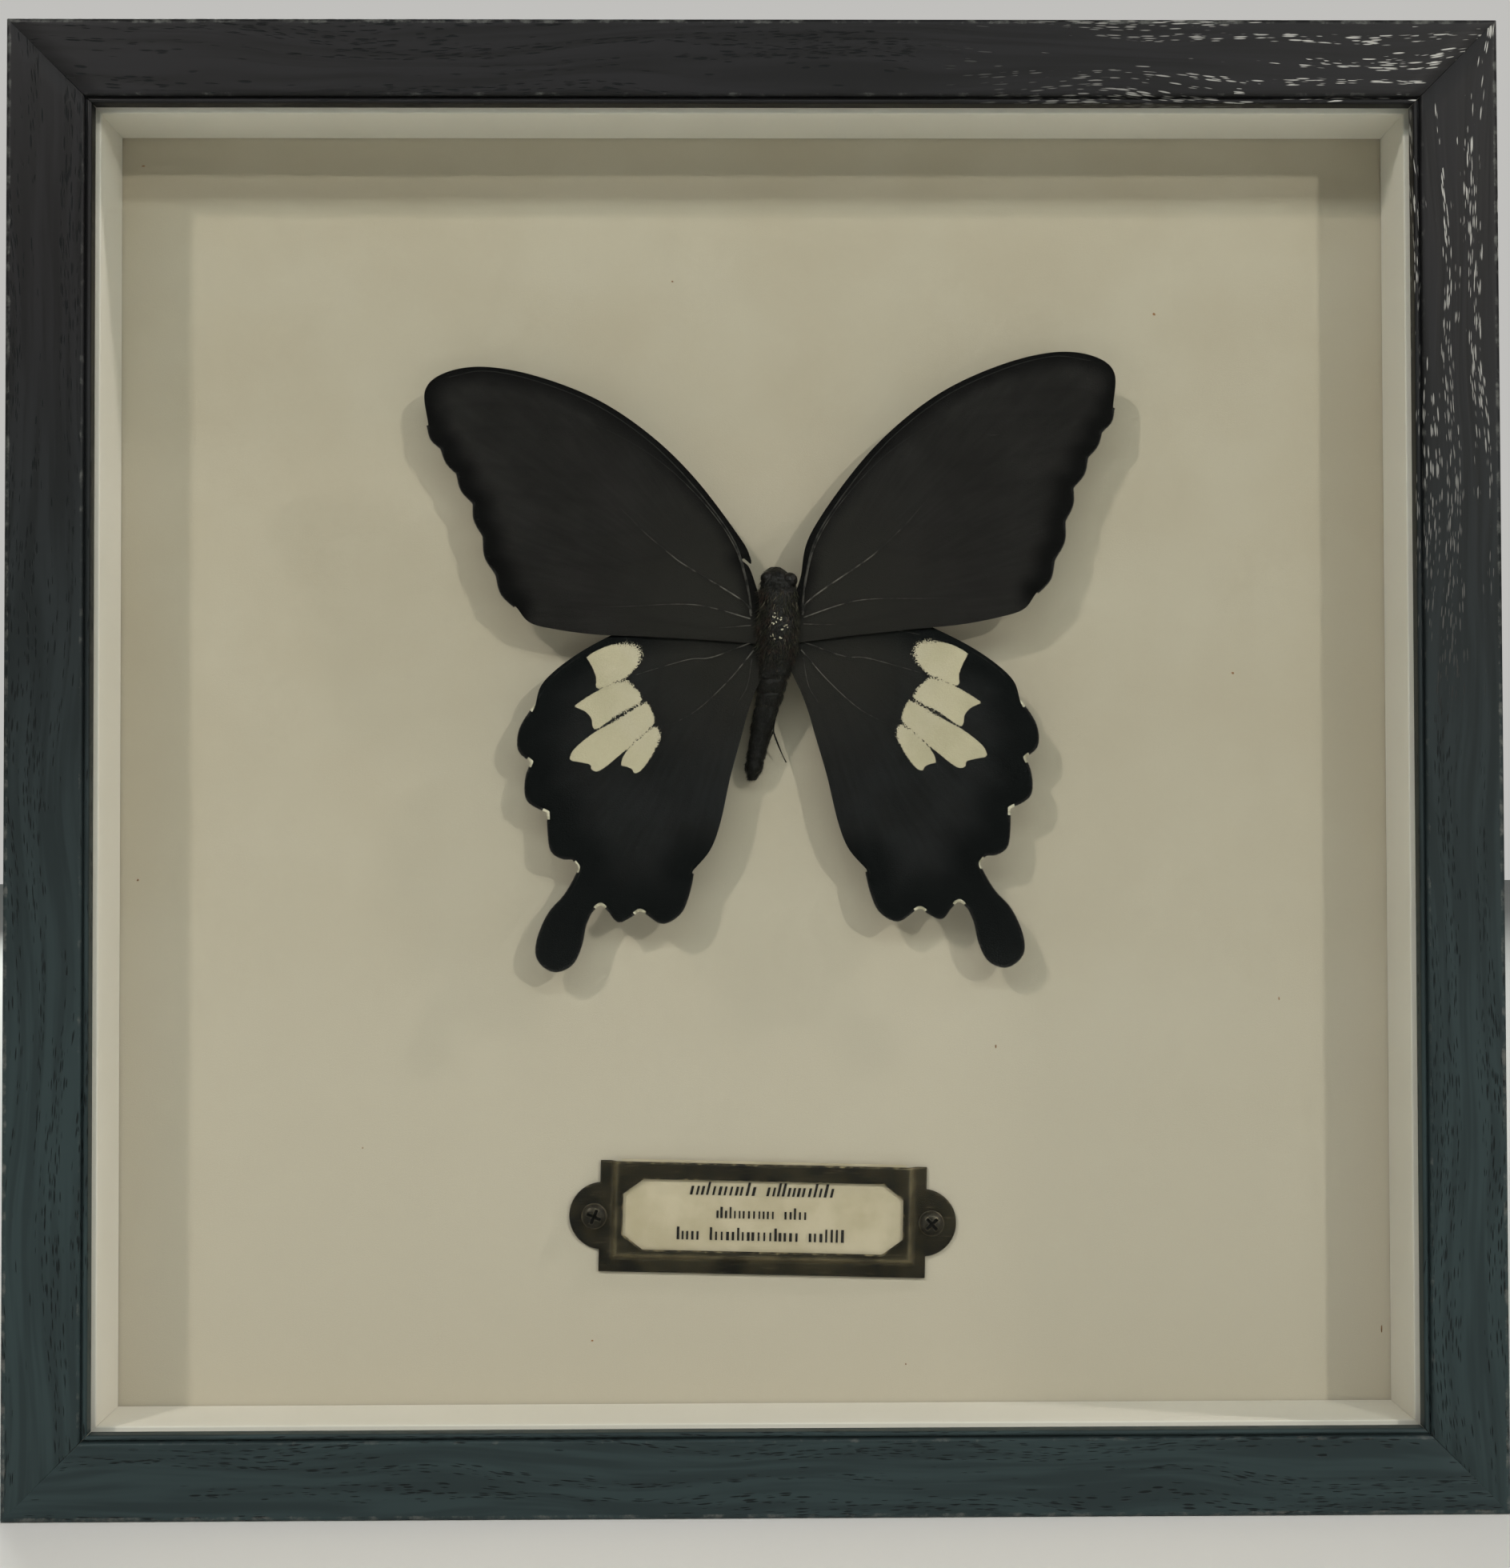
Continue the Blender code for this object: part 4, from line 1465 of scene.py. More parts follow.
@dataclass
class BarMaker:
    """Mitred bars for the four sides of a square."""

    half: float
    chamfer: float = 0.05
    stations: int = 12

    def shell(self, section: Array, number: int) -> Shell:
        """One bar as it lies at the bottom.

        Args:
            section: rows of (outwards, depth, arris), counter-clockwise as seen from the right end.
            number: which bar it is, so that its grain starts at a place of its own.

        Returns:
            The bar, with grain coordinates and marked arrises.
        """
        outwards, depth, arris = section.T
        girth = np.concatenate([[0.0], np.cumsum(np.hypot(np.diff(outwards), np.diff(depth)))])
        full = section[:, :2]
        shrunk = full + (full.mean(axis=0) - full) * 0.006
        ends = [(1.0, 0.4 * self.chamfer, shrunk), (1.0, 2.4 * self.chamfer, full)]
        inner = [(share, 0.0, full) for share in np.linspace(0.96, -0.96, self.stations)]
        rings, grains, marks = [], [], []
        for share, back, shape in [*ends, *inner, *((-s, -b, f) for s, b, f in reversed(ends))]:
            along = share * (self.half + outwards) - back
            rings.append(np.column_stack([along, shape[:, 1], -(self.half + shape[:, 0])]))
            grains.append(np.column_stack([along + 700.0 * number, girth + 37.0 * number]))
            marks.append(arris)
        count = len(section)
        faces = ring_faces(len(rings), count)
        return Shell(np.vstack(rings), faces, {"arris": np.concatenate(marks)}, np.vstack(grains))


def arc(across: float, depth: float, radius: float, start: float, end: float, steps: int,
        mark: float = 1.0) -> list[tuple[float, float, float]]:
    """Points on an arc of a section, with their arris mark.

    Args:
        across: the centre's place outwards.
        depth: the centre's depth.
        radius: the arc's radius.
        start: first angle in degrees, where 0 points outwards and 90 to the front.
        end: last angle.
        steps: steps along the arc.
        mark: the arris mark of each point.

    Returns:
        Rows of (outwards, depth, arris).
    """
    rows = []
    for angle in np.radians(np.linspace(start, end, steps + 1)):
        rows.append((across + radius * math.cos(angle), depth - radius * math.sin(angle), mark))
    return rows


@dataclass
class Moulding:
    """The four black rails: bead, groove, flat face, eased arris, outer side and rabbet."""

    layout: Layout
    finish: Finish
    face: float = 13.0
    depth: float = 30.0
    lip_wide: float = 5.5
    lip_deep: float = 2.6
    sight: float = 0.4
    bead: float = 0.38
    bead_drop: float = 0.3
    groove: tuple[float, float, float] = (1.2, 1.42, 0.9)
    face_ease: float = 0.4
    outer_ease: float = 0.7
    tab_places: tuple[float, float] = (-52.0, 52.0)
    tab_slot: tuple[float, float, float, float] = (8.6, 4.6, 24.3, 25.4)

    def section(self) -> Array:
        """The moulding's section, from the back of the bead round by the front.

        Returns:
            Rows of (outwards, depth, arris).
        """
        start, end, bottom = self.groove
        centre = self.bead_drop + self.bead
        rows = [(self.sight, self.lip_deep, 0.0)]
        rows += arc(self.sight + self.bead, centre, self.bead, 180, 0, 12, 0.5)
        rows += [(start, bottom, 0.0), (end, bottom, 0.0)]
        rows += arc(end + self.face_ease, self.face_ease, self.face_ease, 180, 90, 6, 0.8)
        rows += [(end + self.face_ease + 0.5, 0.0, 0.0), (self.face / 2 + 0.5, 0.0, 0.0)]
        rows += [(self.face - self.outer_ease - 0.5, 0.0, 0.0)]
        rows += arc(self.face - self.outer_ease, self.outer_ease, self.outer_ease, 90, 0, 8)
        rows += [(self.face, self.outer_ease + 0.6, 0.0), (self.face, self.depth / 2, 0.0)]
        rows += [(self.face, self.depth - 0.8, 0.0)]
        rows += arc(self.face - 0.3, self.depth - 0.3, 0.3, 0, -90, 3)
        rows += [(self.face - 0.9, self.depth, 0.0), (self.lip_wide + 0.3, self.depth, 0.0)]
        rows += [(self.lip_wide, self.depth - 0.3, 0.6), (self.lip_wide, self.lip_deep, 0.0)]
        return np.array(rows)

    def cut_slots(self, mesh: Mesh, datum: Datum) -> Mesh:
        """Cuts the slots for the panel tabs.

        Args:
            mesh: the rail.
            datum: the rail's own frame.

        Returns:
            The rail with its slots.
        """
        wide, deep, front, back = self.tab_slot
        rail = spare(mesh)
        for place in self.tab_places:
            reach = self.layout.sight_half + self.lip_wide
            slot = rectangle(wide / 2, -reach - deep, -reach + 0.5) + (place, 0.0)
            cutter = spare(plate(slot, front, back).mesh("slot", datum))
            cut = rail.modifiers.new("slot", "BOOLEAN")
            cut.operation, cut.solver, cut.object = "DIFFERENCE", "EXACT", cutter
        graph = bpy.context.evaluated_depsgraph_get()
        result = bpy.data.meshes.new_from_object(rail.evaluated_get(graph), depsgraph=graph)
        for cut in list(rail.modifiers):
            drop(cut.object)
        drop(rail)
        return result

    def build(self) -> None:
        """Makes the four rails."""
        bars = BarMaker(self.layout.sight_half)
        for quarter in Quarter:
            side = quarter.name.lower()
            datum = self.layout.box.turned(90.0 * quarter.value)
            mesh = bars.shell(self.section(), quarter.value).mesh(f"black_rail_{side}", datum)
            mesh = self.cut_slots(mesh, datum)
            mesh.name = f"black_rail_{side}"
            add_piece(mesh, self.finish.material(), [f"rail_{side}"])


@dataclass
class Liner:
    """The four white strips between the glass and the board."""

    layout: Layout
    finish: Finish
    inset: float = 0.3
    outer: float = 5.2
    front: float = 5.2
    back: float = 17.7
    ease: float = 0.25

    def build(self) -> None:
        """Makes the strips."""
        rows = [(self.inset, self.back, 0.0), (self.inset, self.back / 2, 0.0)]
        rows += arc(self.inset + self.ease, self.front + self.ease, self.ease, 180, 90, 4)
        rows += [(self.outer, self.front, 0.0), (self.outer, self.back, 0.0)]
        bars = BarMaker(self.layout.sight_half, 0.02)
        for quarter in Quarter:
            side = quarter.name.lower()
            datum = self.layout.box.turned(90.0 * quarter.value)
            mesh = bars.shell(np.array(rows), quarter.value).mesh(f"white_liner_{side}", datum)
            add_piece(mesh, self.finish.material(), [f"spacer_{side}"])


@dataclass
class Specks:
    """Small dark flakes and fibres that lie on the board."""

    layout: Layout
    finish: Finish
    depth: float = 17.97
    thick: float = 0.04
    places: tuple[tuple[float, float, float, float], ...] = (
        (62.3, 180.9, 0.32, 0.26), (37.1, 67.2, 0.14, 0.42), (-25.2, 22.3, 0.22, 0.16),
        (74.2, 124.9, 0.24, 0.2), (-95.1, 93.3, 0.2, 0.2), (96.5, 23.5, 0.12, 0.7),
        (-94.6, 204.0, 0.3, 0.16), (-12.6, 186.0, 0.2, 0.14), (23.0, 18.5, 0.16, 0.16),
        (-60.5, 52.0, 0.14, 0.14), (81.0, 74.5, 0.14, 0.3),
    )

    def build(self) -> None:
        """Makes the flakes as one piece."""
        chance = random.Random(4)
        flakes = []
        for across, up, wide, high in self.places:
            angles = np.arange(7) * 2 * math.pi / 7
            ragged = np.array([chance.uniform(0.6, 1.1) for _ in angles])
            loop = np.column_stack([across + wide * ragged * np.cos(angles),
                                    up - self.layout.half_side + high * ragged * np.sin(angles)])
            flakes.append(plate(loop, self.depth - self.thick, self.depth))
        mesh = reduce(Shell.join, flakes).mesh("board_specks", self.layout.box)
        add_piece(mesh, self.finish.material())


@dataclass
class BackFittings:
    """The tabs that hold the back panel, and the finishes of the hanger, nails and pads."""

    layout: Layout
    steel: Finish
    rubber: Finish
    board: Finish
    reach: float = 103.0
    places: tuple[float, float] = (-52.0, 52.0)
    front: float = 24.6
    thick: float = 0.5

    def tab(self) -> Mesh:
        """One tab at the origin, pointing up, with a rounded tip and a pressed rib.

        Returns:
            The tab.
        """
        angles = np.radians(np.linspace(0, 180, 13))
        tip = np.column_stack([4.0 * np.cos(angles), 4.0 + 4.0 * np.sin(angles)])
        loop = np.vstack([[(-3.0, -4.0), (3.0, -4.0), (4.0, -1.5)], tip, [(-4.0, -1.5)]])
        grid = hex_grid((-4, -4), (4, 8), 0.5)
        edge = depth_inside(grid, loop)
        points, triangles = fill([loop, offset_loop(loop, 0.15)], 0, grid[edge > 0.35])
        edge = np.maximum(depth_inside(points, loop), 0)
        rib = 0.3 * np.exp(-((points[:, 0] / 0.8) ** 2)) * smoothstep(points[:, 1], 0.5, 2.5)
        rib = rib * smoothstep(points[:, 1], 7.0, 5.5)
        ease = 0.06 * (1 - smoothstep(edge, 0.0, 0.15))
        shell = between(points, triangles, rib * 0 + ease, self.thick + rib * 0.6 - ease)
        mark = 1 - smoothstep(edge, 0.1, 0.8)
        shell.values["arris"] = np.concatenate([mark, mark])
        return shell.mesh("tab", ORIGIN)

    def build(self) -> None:
        """Makes the tabs and dresses the other fittings."""
        spots, spins = [], []
        for quarter in Quarter:
            turn = Matrix.Rotation(math.radians(90.0 * quarter.value), 3, "Y")
            for place in self.places:
                spots.append(tuple(turn @ Vector((place, self.front, -self.reach))))
                spins.append(math.radians(90.0 * quarter.value))
        nodes = [f"panel_tab_{number}" for number in range(1, 9)]
        place_copies("panel_tabs", self.tab(), np.array(spots), np.array(spins), self.layout.box,
                     self.steel, nodes)
        for node in ("sawtooth_hanger", "hanger_nail_left", "hanger_nail_right"):
            dress(node, self.steel.material())
        for node in ("wall_pad_left", "wall_pad_right"):
            dress(node, self.rubber.material())
        dress("back_panel", self.board.material())


# ---------------------------------------------------------------- the butterfly


Path = tuple[tuple[float, ...], ...]


class Side(Enum):
    """The two sides of the butterfly, by the sign of their across values."""

    LEFT = -1
    RIGHT = 1


@dataclass(frozen=True)
class Vein:
    """One vein: its way over the wing, and its radius where it starts and where it ends."""

    path: Path
    start: float = 0.24
    end: float = 0.09
    rub: float = 0.0


@dataclass(frozen=True)
class WingPlan:
    """One right wing as it was measured, counted from the middle of the thorax."""

    name: str
    edge: tuple[Path, ...]
    margin: tuple[int, int]
    veins: tuple[Vein, ...]
    turn: float
    rise: float
    layer: float
    patches: tuple[Path, ...] = ()
    marks: tuple[Path, ...] = ()
    cilia: Path = ()


FOREWING = WingPlan(
    "forewing",
    (
        ((2.2, 3.0), (3.0, 5.6), (3.8, 8.0), (5.3, 14.0), (11.6, 22.9), (18.2, 29.8), (26.3, 35.6),
         (35.6, 39.6), (43.6, 41.2), (49.6, 40.4), (52.6, 37.8), (52.2, 32.4)),
        ((52.2, 32.4), (51.7, 30.4), (50.2, 28.9)),
        ((50.2, 28.9), (49.5, 26.8), (47.9, 25.0)),
        ((47.9, 25.0), (47.3, 22.5), (45.5, 20.4)),
        ((45.5, 20.4), (45.4, 17.8), (44.1, 15.3)),
        ((44.1, 15.3), (43.9, 12.2), (42.3, 9.4)),
        ((42.3, 9.4), (41.6, 6.5), (39.5, 4.3)),
        ((39.5, 4.3), (37.6, 2.0), (34.0, 0.9), (28.0, -0.1), (21.0, -0.6), (11.0, -1.4), (2.2, -2.3)),
    ),
    (1, 7),
    (
        Vein(((3.9, 3.2), (4.6, 8), (6.6, 14.2), (12.6, 22.6), (19, 29.3), (27, 35), (36, 38.9),
              (43.4, 40.5), (49, 39.7)), 0.34, 0.16, 0.25),
        Vein(((3.9, 2.4), (4.4, 6.5), (6.1, 12.5), (9.9, 18.5), (16, 25), (22.5, 29.6), (29.5, 32.8),
              (36, 34.6), (44, 35.4), (51.5, 34.8)), 0.30, 0.09, 0.4),
        Vein(((13.5, 22.6), (20, 29.4), (27, 34), (33, 36.9), (38, 39.5)), 0.16, 0.08),
        Vein(((18, 26.6), (26, 32.6), (34, 36.8), (42, 40)), 0.14, 0.08),
        Vein(((29.5, 32.8), (38, 37.2), (47, 39.9)), 0.13, 0.08),
        Vein(((3.9, 2.0), (5.1, 4.3), (13.3, 9.7), (15.7, 11.5), (19.8, 15.2), (21.8, 17.4),
              (23.9, 19.7), (26.5, 24)), 0.30, 0.13, 0.75),
        Vein(((26.5, 24), (29.2, 28.6), (29.5, 32.8)), 0.11, 0.09),
        Vein(((29.4, 31.2), (36, 31.8), (44, 31.6), (51.4, 30.6)), 0.12, 0.08),
        Vein(((26.5, 24), (31.1, 24.4), (39, 25.6), (49.3, 26.9)), 0.12, 0.08),
        Vein(((23.9, 19.9), (26.5, 19.9), (35, 21), (47.1, 22.6)), 0.12, 0.08),
        Vein(((20.2, 15.3), (28.5, 15.2), (36, 16), (45.2, 17.9)), 0.12, 0.08),
        Vein(((16.4, 11.6), (23.9, 10.5), (33, 10.9), (43.7, 12.2)), 0.13, 0.08),
        Vein(((4, 1.6), (10.2, 3.5), (15, 4.1), (24.2, 4), (33, 4.6), (41.3, 6.6)), 0.24, 0.09, 0.7),
        Vein(((4, 0.6), (9, 0.4), (13.8, 1.0), (20.8, 2.3)), 0.2, 0.07, 0.6),
    ),
    -1.45,
    -0.35,
    0.0,
    marks=(
        ((21.5, 29.9), (23.2, 29.4), (25.9, 30.5)), ((28.0, 29.6), (34.9, 29.9)),
        ((26.6, 27.6), (30.1, 27.9)), ((31.9, 28.6), (35.4, 28.7)), ((39.3, 38.0), (40.7, 37.1)),
    ),
)

HINDWING = WingPlan(
    "hindwing",
    (
        ((2.0, 0.6), (12.0, 2.6), (19.0, 1.6), (24.0, -0.8), (29.4, -3.6), (33.5, -6.4),
         (36.0, -9.0), (36.9, -12.0)),
        ((36.9, -12.0), (39.1, -15.6), (39.3, -18.7), (37.4, -20.5)),
        ((37.4, -20.5), (38.3, -23.4), (38.0, -26.4), (35.0, -28.2)),
        ((35.0, -28.2), (34.9, -31.4), (34.5, -34.0), (33.0, -35.1), (31.4, -35.2)),
        ((31.4, -35.2), (30.3, -36.6), (31.0, -38.4)),
        ((31.0, -38.4), (32.6, -41.0), (35.0, -43.7), (36.6, -47.2), (36.9, -49.9), (35.8, -51.6),
         (33.9, -52.3), (31.7, -51.2), (30.4, -48.6), (29.7, -45.5), (28.8, -43.4)),
        ((28.8, -43.4), (27.3, -42.2), (25.9, -43.2)),
        ((25.9, -43.2), (24.5, -44.8), (22.6, -44.0)),
        ((22.6, -44.0), (21.4, -43.2), (20.3, -43.6)),
        ((20.3, -43.6), (17.8, -45.1), (15.2, -43.6), (13.9, -40.6), (13.2, -37.4)),
        ((13.2, -37.4), (10.5, -34.2), (8.9, -30.0), (7.3, -23.0), (5.5, -16.6), (4.7, -13.7),
         (3.7, -10.8), (2.9, -9.0), (1.8, -6.6)),
    ),
    (1, 10),
    (
        Vein(((4, -0.6), (12, -0.5), (20, -1.4), (28, -3.7), (33.4, -7), (36.4, -10.9)), 0.22, 0.09, 0.4),
        Vein(((3.7, -2.6), (9.9, -4.9), (13.4, -5.2), (19.2, -6.8), (23.6, -8.2), (27.3, -9.6),
              (32.2, -11.7), (38.7, -16.6)), 0.24, 0.09, 0.6),
        Vein(((18.3, -9.2), (20.1, -11.8), (27.2, -15.5), (31.9, -18.7), (37.8, -24.3)), 0.13, 0.08),
        Vein(((17.9, -13.2), (18.7, -15.2), (24.6, -20.7), (29, -24.9), (34.4, -31.8)), 0.13, 0.08),
        Vein(((3.6, -3.9), (7.6, -8.6), (12.3, -12.9), (16.6, -15.3)), 0.24, 0.13, 0.6),
        Vein(((16.6, -15.3), (17.9, -13.2), (18.3, -9.2), (17.6, -6.4)), 0.12, 0.1),
        Vein(((16.6, -15.3), (19.5, -20.5), (24.5, -28.5), (29, -35), (31, -39), (33.4, -44.5),
              (34.6, -50.2)), 0.14, 0.08),
        Vein(((13.6, -13.7), (16.5, -22), (20.3, -33), (24.3, -43.4)), 0.13, 0.08, 0.2),
        Vein(((8.6, -9.6), (11.4, -18.4), (14.6, -31), (17.5, -43.6)), 0.14, 0.08, 0.2),
        Vein(((3.9, -5.2), (4.7, -9.5), (6.7, -13.3), (9.3, -22.5), (12, -33), (13.8, -38.2)), 0.2, 0.08,
             0.3),
    ),
    -0.4,
    0.35,
    0.7,
    patches=(
        ((29.0, -4.8), (26.4, -3.3), (23.9, -2.8), (21.7, -3.0), (20.8, -4.2), (21.3, -6.0),
         (22.8, -7.7), (23.9, -8.3), (27.3, -9.5), (27.6, -7.8), (28.2, -6.2)),
        ((31.0, -12.2), (27.2, -9.8), (23.5, -8.4), (22.1, -9.1), (21.0, -10.4), (20.9, -11.7),
         (24.3, -13.5), (27.2, -15.5), (28.1, -15.5), (28.4, -14.0), (29.3, -13.0), (30.1, -12.6)),
        ((31.7, -20.2), (31.0, -18.7), (28.2, -16.4), (25.0, -14.6), (20.6, -12.0), (19.7, -12.0),
         (18.9, -13.8), (19.0, -15.1), (21.3, -17.3), (24.3, -19.8), (26.1, -21.3), (27.5, -22.1),
         (28.4, -21.8), (28.6, -21.1), (30.1, -20.7), (31.4, -20.5)),
        ((23.9, -21.3), (23.5, -19.8), (21.7, -17.6), (18.8, -15.5), (18.0, -16.4), (18.2, -17.8),
         (19.5, -20.2), (21.0, -22.1), (21.9, -22.4), (22.3, -21.8), (23.2, -21.4)),
    ),
    cilia=((36.7, -12.2), (37.2, -20.5), (35.1, -28.4), (31.0, -36.6), (27.3, -42.4), (21.3, -43.4)),
)


@dataclass
class Wing:
    """One thin wing with raised veins, sagging skin between them and a fringe along its edge."""

    plan: WingPlan
    side: Side
    layout: Layout
    skin: Finish
    vein_skin: Finish
    fringe: Finish
    pale_fringe: Finish
    rub_skin: Finish
    depth: float = 10.5
    droop: float = 0.8
    reach: float = 64.0
    thick: float = 0.3
    grid: float = 0.62
    fine_grid: float = 0.3
    vein_sunk: float = 0.03
    mark_sunk: float = 0.12
    fringe_gap: float = 0.11
    fringe_long: float = 0.34
    cilia_long: float = 0.3
    notch_reach: float = 1.0
    fringe_swing: float = 0.22
    torn_root: Path = ()

    def flip(self, path: Path | Array) -> Array:
        """Points of the right wing, mirrored where this is the left one."""
        return np.array(path, float) * np.array([self.side.value, 1.0])

    def stretches(self) -> list[Array]:
        """The edge's smooth stretches between its corners.

        Returns:
            One curve for each stretch of the edge.
        """
        edge = list(self.plan.edge)
        if self.torn_root:
            edge[0] = self.torn_root + edge[0][4:]
        return [self.flip(curve_through(stretch, 9, False)) for stretch in edge]

    def margin(self) -> Array:
        """The outer margin, from the tip round to the inner corner."""
        first, last = self.plan.margin
        return np.vstack(self.stretches()[first:last])

    def vein_lines(self) -> list[Array]:
        """The veins as lines of points, about 0.6 mm apart."""
        return [self.flip(curve_through(vein.path, 8)) for vein in self.plan.veins]

    def skin_depth(self, points: Array) -> Array:
        """How deep the middle of the skin lies.

        Args:
            points: rows of (across, up).

        Returns:
            One depth for each point.
        """
        across, up = points[:, 0], points[:, 1]
        droop = self.depth + self.droop * (np.hypot(across, up) / self.reach) ** 2
        ripple = 0.15 * np.sin(0.21 * abs(across) + 0.13 * up + 1.0)
        ripple += 0.10 * np.sin(0.37 * abs(across) - 0.29 * up)
        return droop + self.plan.layer + ripple + self.thick / 2

    def points(self, loop: Array) -> tuple[Array, Array]:
        """Free points inside the edge, closer together round the patches.

        Args:
            loop: the wing's edge.

        Returns:
            The points.
        """
        low, high = loop.min(axis=0), loop.max(axis=0)
        coarse = hex_grid(low, high, self.grid)
        coarse = coarse[depth_inside(coarse, loop) > self.grid * 0.4]
        if not self.plan.patches:
            return coarse
        fine = hex_grid(low, high, self.fine_grid)
        near = abs(self.patch_depth(coarse)) > 0.75
        close = abs(self.patch_depth(fine)) < 0.7
        return np.vstack([coarse[near], fine[close]])

    def patch_loops(self) -> list[Array]:
        """The patches' outlines.

        Returns:
            One closed loop for each patch.
        """
        loops = []
        for patch in self.plan.patches:
            ring = (patch[-1], *patch, patch[0])
            curve = curve_through(ring, 5)[5:-5]
            loops.append(self.flip(curve))
        return loops

    def patch_depth(self, points: Array) -> Array:
        """How deep inside a patch each point lies, negative outside all of them."""
        depths = [depth_inside(points, loop) for loop in self.patch_loops()]
        return np.max(depths, axis=0) if depths else np.full(len(points), -9.0)

    def powder(self, points: Array) -> Array:
        """How loose the cream scales lie: most at a patch's inner end.

        Args:
            points: places in the wing.

        Returns:
            A value for each place.
        """
        share = np.zeros(len(points))
        inwards = self.flip((-0.78, 0.62))
        for number, loop in enumerate(self.patch_loops()):
            middle = loop.mean(axis=0)
            near = np.exp(-((np.linalg.norm(points - middle, axis=1) / 6.5) ** 4))
            along = (points - middle) @ inwards
            share = np.maximum(share, near * smoothstep(along, 0.6, 4.2) * (1.0 if number == 0 else 0.45))
        return share

    def values(self, points: Array, vein_gap: Array) -> dict[str, Array]:
        """What the skin's finish reads at each point.

        Args:
            points: rows of (across, up).
            vein_gap: distance to the nearest vein.

        Returns:
            The values by name.
        """
        margin = self.margin()
        costa = self.stretches()[0]
        edge_gap = np.minimum(segment_distance(points, margin[:-1], margin[1:]),
                              segment_distance(points, costa[:-1], costa[1:]) + 0.8)
        across, up = abs(points[:, 0]) - 3.0, points[:, 1] - 1.0
        return {
            "vein": vein_gap,
            "fan": np.degrees(np.arctan2(up, across)) / 1.3,
            "reach": np.hypot(across, up),
            "rim": edge_gap,
            "cream": np.clip(self.patch_depth(points), -3.0, 3.0),
            "powder": self.powder(points),
        }

    def blade(self) -> None:
        """Makes the skin."""
        loop = np.vstack(self.stretches())
        if self.side is Side.RIGHT:
            loop = loop[::-1]
        points, triangles = fill([loop], 0, self.points(loop))
        lines = self.vein_lines()
        starts = np.vstack([line[:-1] for line in lines])
        ends = np.vstack([line[1:] for line in lines])
        vein_gap = segment_distance(points, starts, ends)
        edge_gap = np.maximum(depth_inside(points, loop), 0.0)
        sag = 0.08 * (1 - np.exp(-((vein_gap / 2.2) ** 2))) - 0.05 * np.exp(-((vein_gap / 0.45) ** 2))
        middle = self.skin_depth(points) + sag
        half = 0.04 + (self.thick / 2 - 0.04) * smoothstep(edge_gap, 0.0, 0.7)
        shell = between(points, triangles, middle - half, middle + half)
        values = self.values(points, vein_gap)
        shell.values = {key: np.concatenate([value, value]) for key, value in values.items()}
        mesh = shell.mesh(f"{self.stem()}_skin", self.datum(), 60.0)
        add_piece(mesh, self.skin.material(), [self.stem()])

    def stem(self) -> str:
        """The CAD node's name, with which this wing's piece names start."""
        return f"{self.plan.name}_{self.side.name.lower()}"

    def datum(self) -> Datum:
        """The frame of this wing, raised and turned as the wing was set."""
        thorax = self.layout.thorax
        return Datum(thorax.across, thorax.front, thorax.up + self.plan.rise, self.plan.turn)

    def tubes(self, name: str, lines: list[Array], widths: list[Array], rubs: list[Array],
              proud: float, finish: Finish, sides: int = 8) -> None:
        """Sweeps tubes over the skin.

        Args:
            name: the end of the piece's name.
            lines: the lines, (across, up).
            widths: the radius at each point.
            rubs: how rubbed each point is.
            proud: how far the tubes' middles stand in front of the skin's middle.
            finish: the tubes' finish.
            sides: faces round each tube.
        """
        solid = [np.column_stack([line[:, 0], self.skin_depth(line) - proud, line[:, 1]]) for line in lines]
        values = {"width": widths, "rub": rubs}
        sweep_tubes(f"{self.stem()}_{name}", solid, self.datum(), values, sides, finish)

    def raise_veins(self) -> None:
        """Makes the veins."""
        lines = self.vein_lines()
        widths, rubs = [], []
        for vein, line in zip(self.plan.veins, lines):
            share = np.linspace(0.0, 1.0, len(line))
            widths.append(0.55 * (vein.start + (vein.end - vein.start) * share**0.6))
            rubs.append(vein.rub * (1 - smoothstep(np.hypot(line[:, 0], line[:, 1]), 10.0, 34.0)))
        self.tubes("veins", lines, widths, rubs, self.thick / 2 - self.vein_sunk, self.vein_skin)

    def rub_marks(self) -> None:
        """Makes the fine pale lines where scales are rubbed off."""
        lines = [self.flip(curve_through(mark, 6)) for mark in self.plan.marks]
        widths = [0.055 * np.sin(np.linspace(0.15, math.pi - 0.15, len(line))) + 0.012 for line in lines]
        rubs = [np.ones(len(line)) for line in lines]
        self.tubes("rubbed_lines", lines, widths, rubs, self.thick / 2 - self.mark_sunk, self.rub_skin, 5)

    def fringe_places(self) -> tuple[Array, Array]:
        """Places along the margin, and the way out of the wing at each.

        Returns:
            Rows of (across, up), and rows of the unit vector that points out of the wing.
        """
        line = self.margin()
        step = np.diff(line, axis=0)
        length = np.concatenate([[0.0], np.cumsum(np.linalg.norm(step, axis=1))])
        at = np.arange(0.0, length[-1], self.fringe_gap)
        spots = np.column_stack([np.interp(at, length, line[:, axis]) for axis in (0, 1)])
        ways = np.gradient(spots, axis=0)
        ways /= np.maximum(np.linalg.norm(ways, axis=1, keepdims=True), 1e-9)
        return spots, np.column_stack([-ways[:, 1], ways[:, 0]]) * self.side.value

    def fringe_blade(self, length: float) -> Mesh:
        """One fringe scale that points up, as a flat four-sided spike.

        Args:
            length: how long the blade is, in mm.

        Returns:
            The blade.
        """
        rows = [(-0.07, -0.15), (0.07, -0.15), (0.075, length * 0.5), (0.0, length), (-0.075, length * 0.5)]
        loop = np.array(rows)
        return plate(loop, -0.02, 0.02).mesh("fringe_blade", ORIGIN)

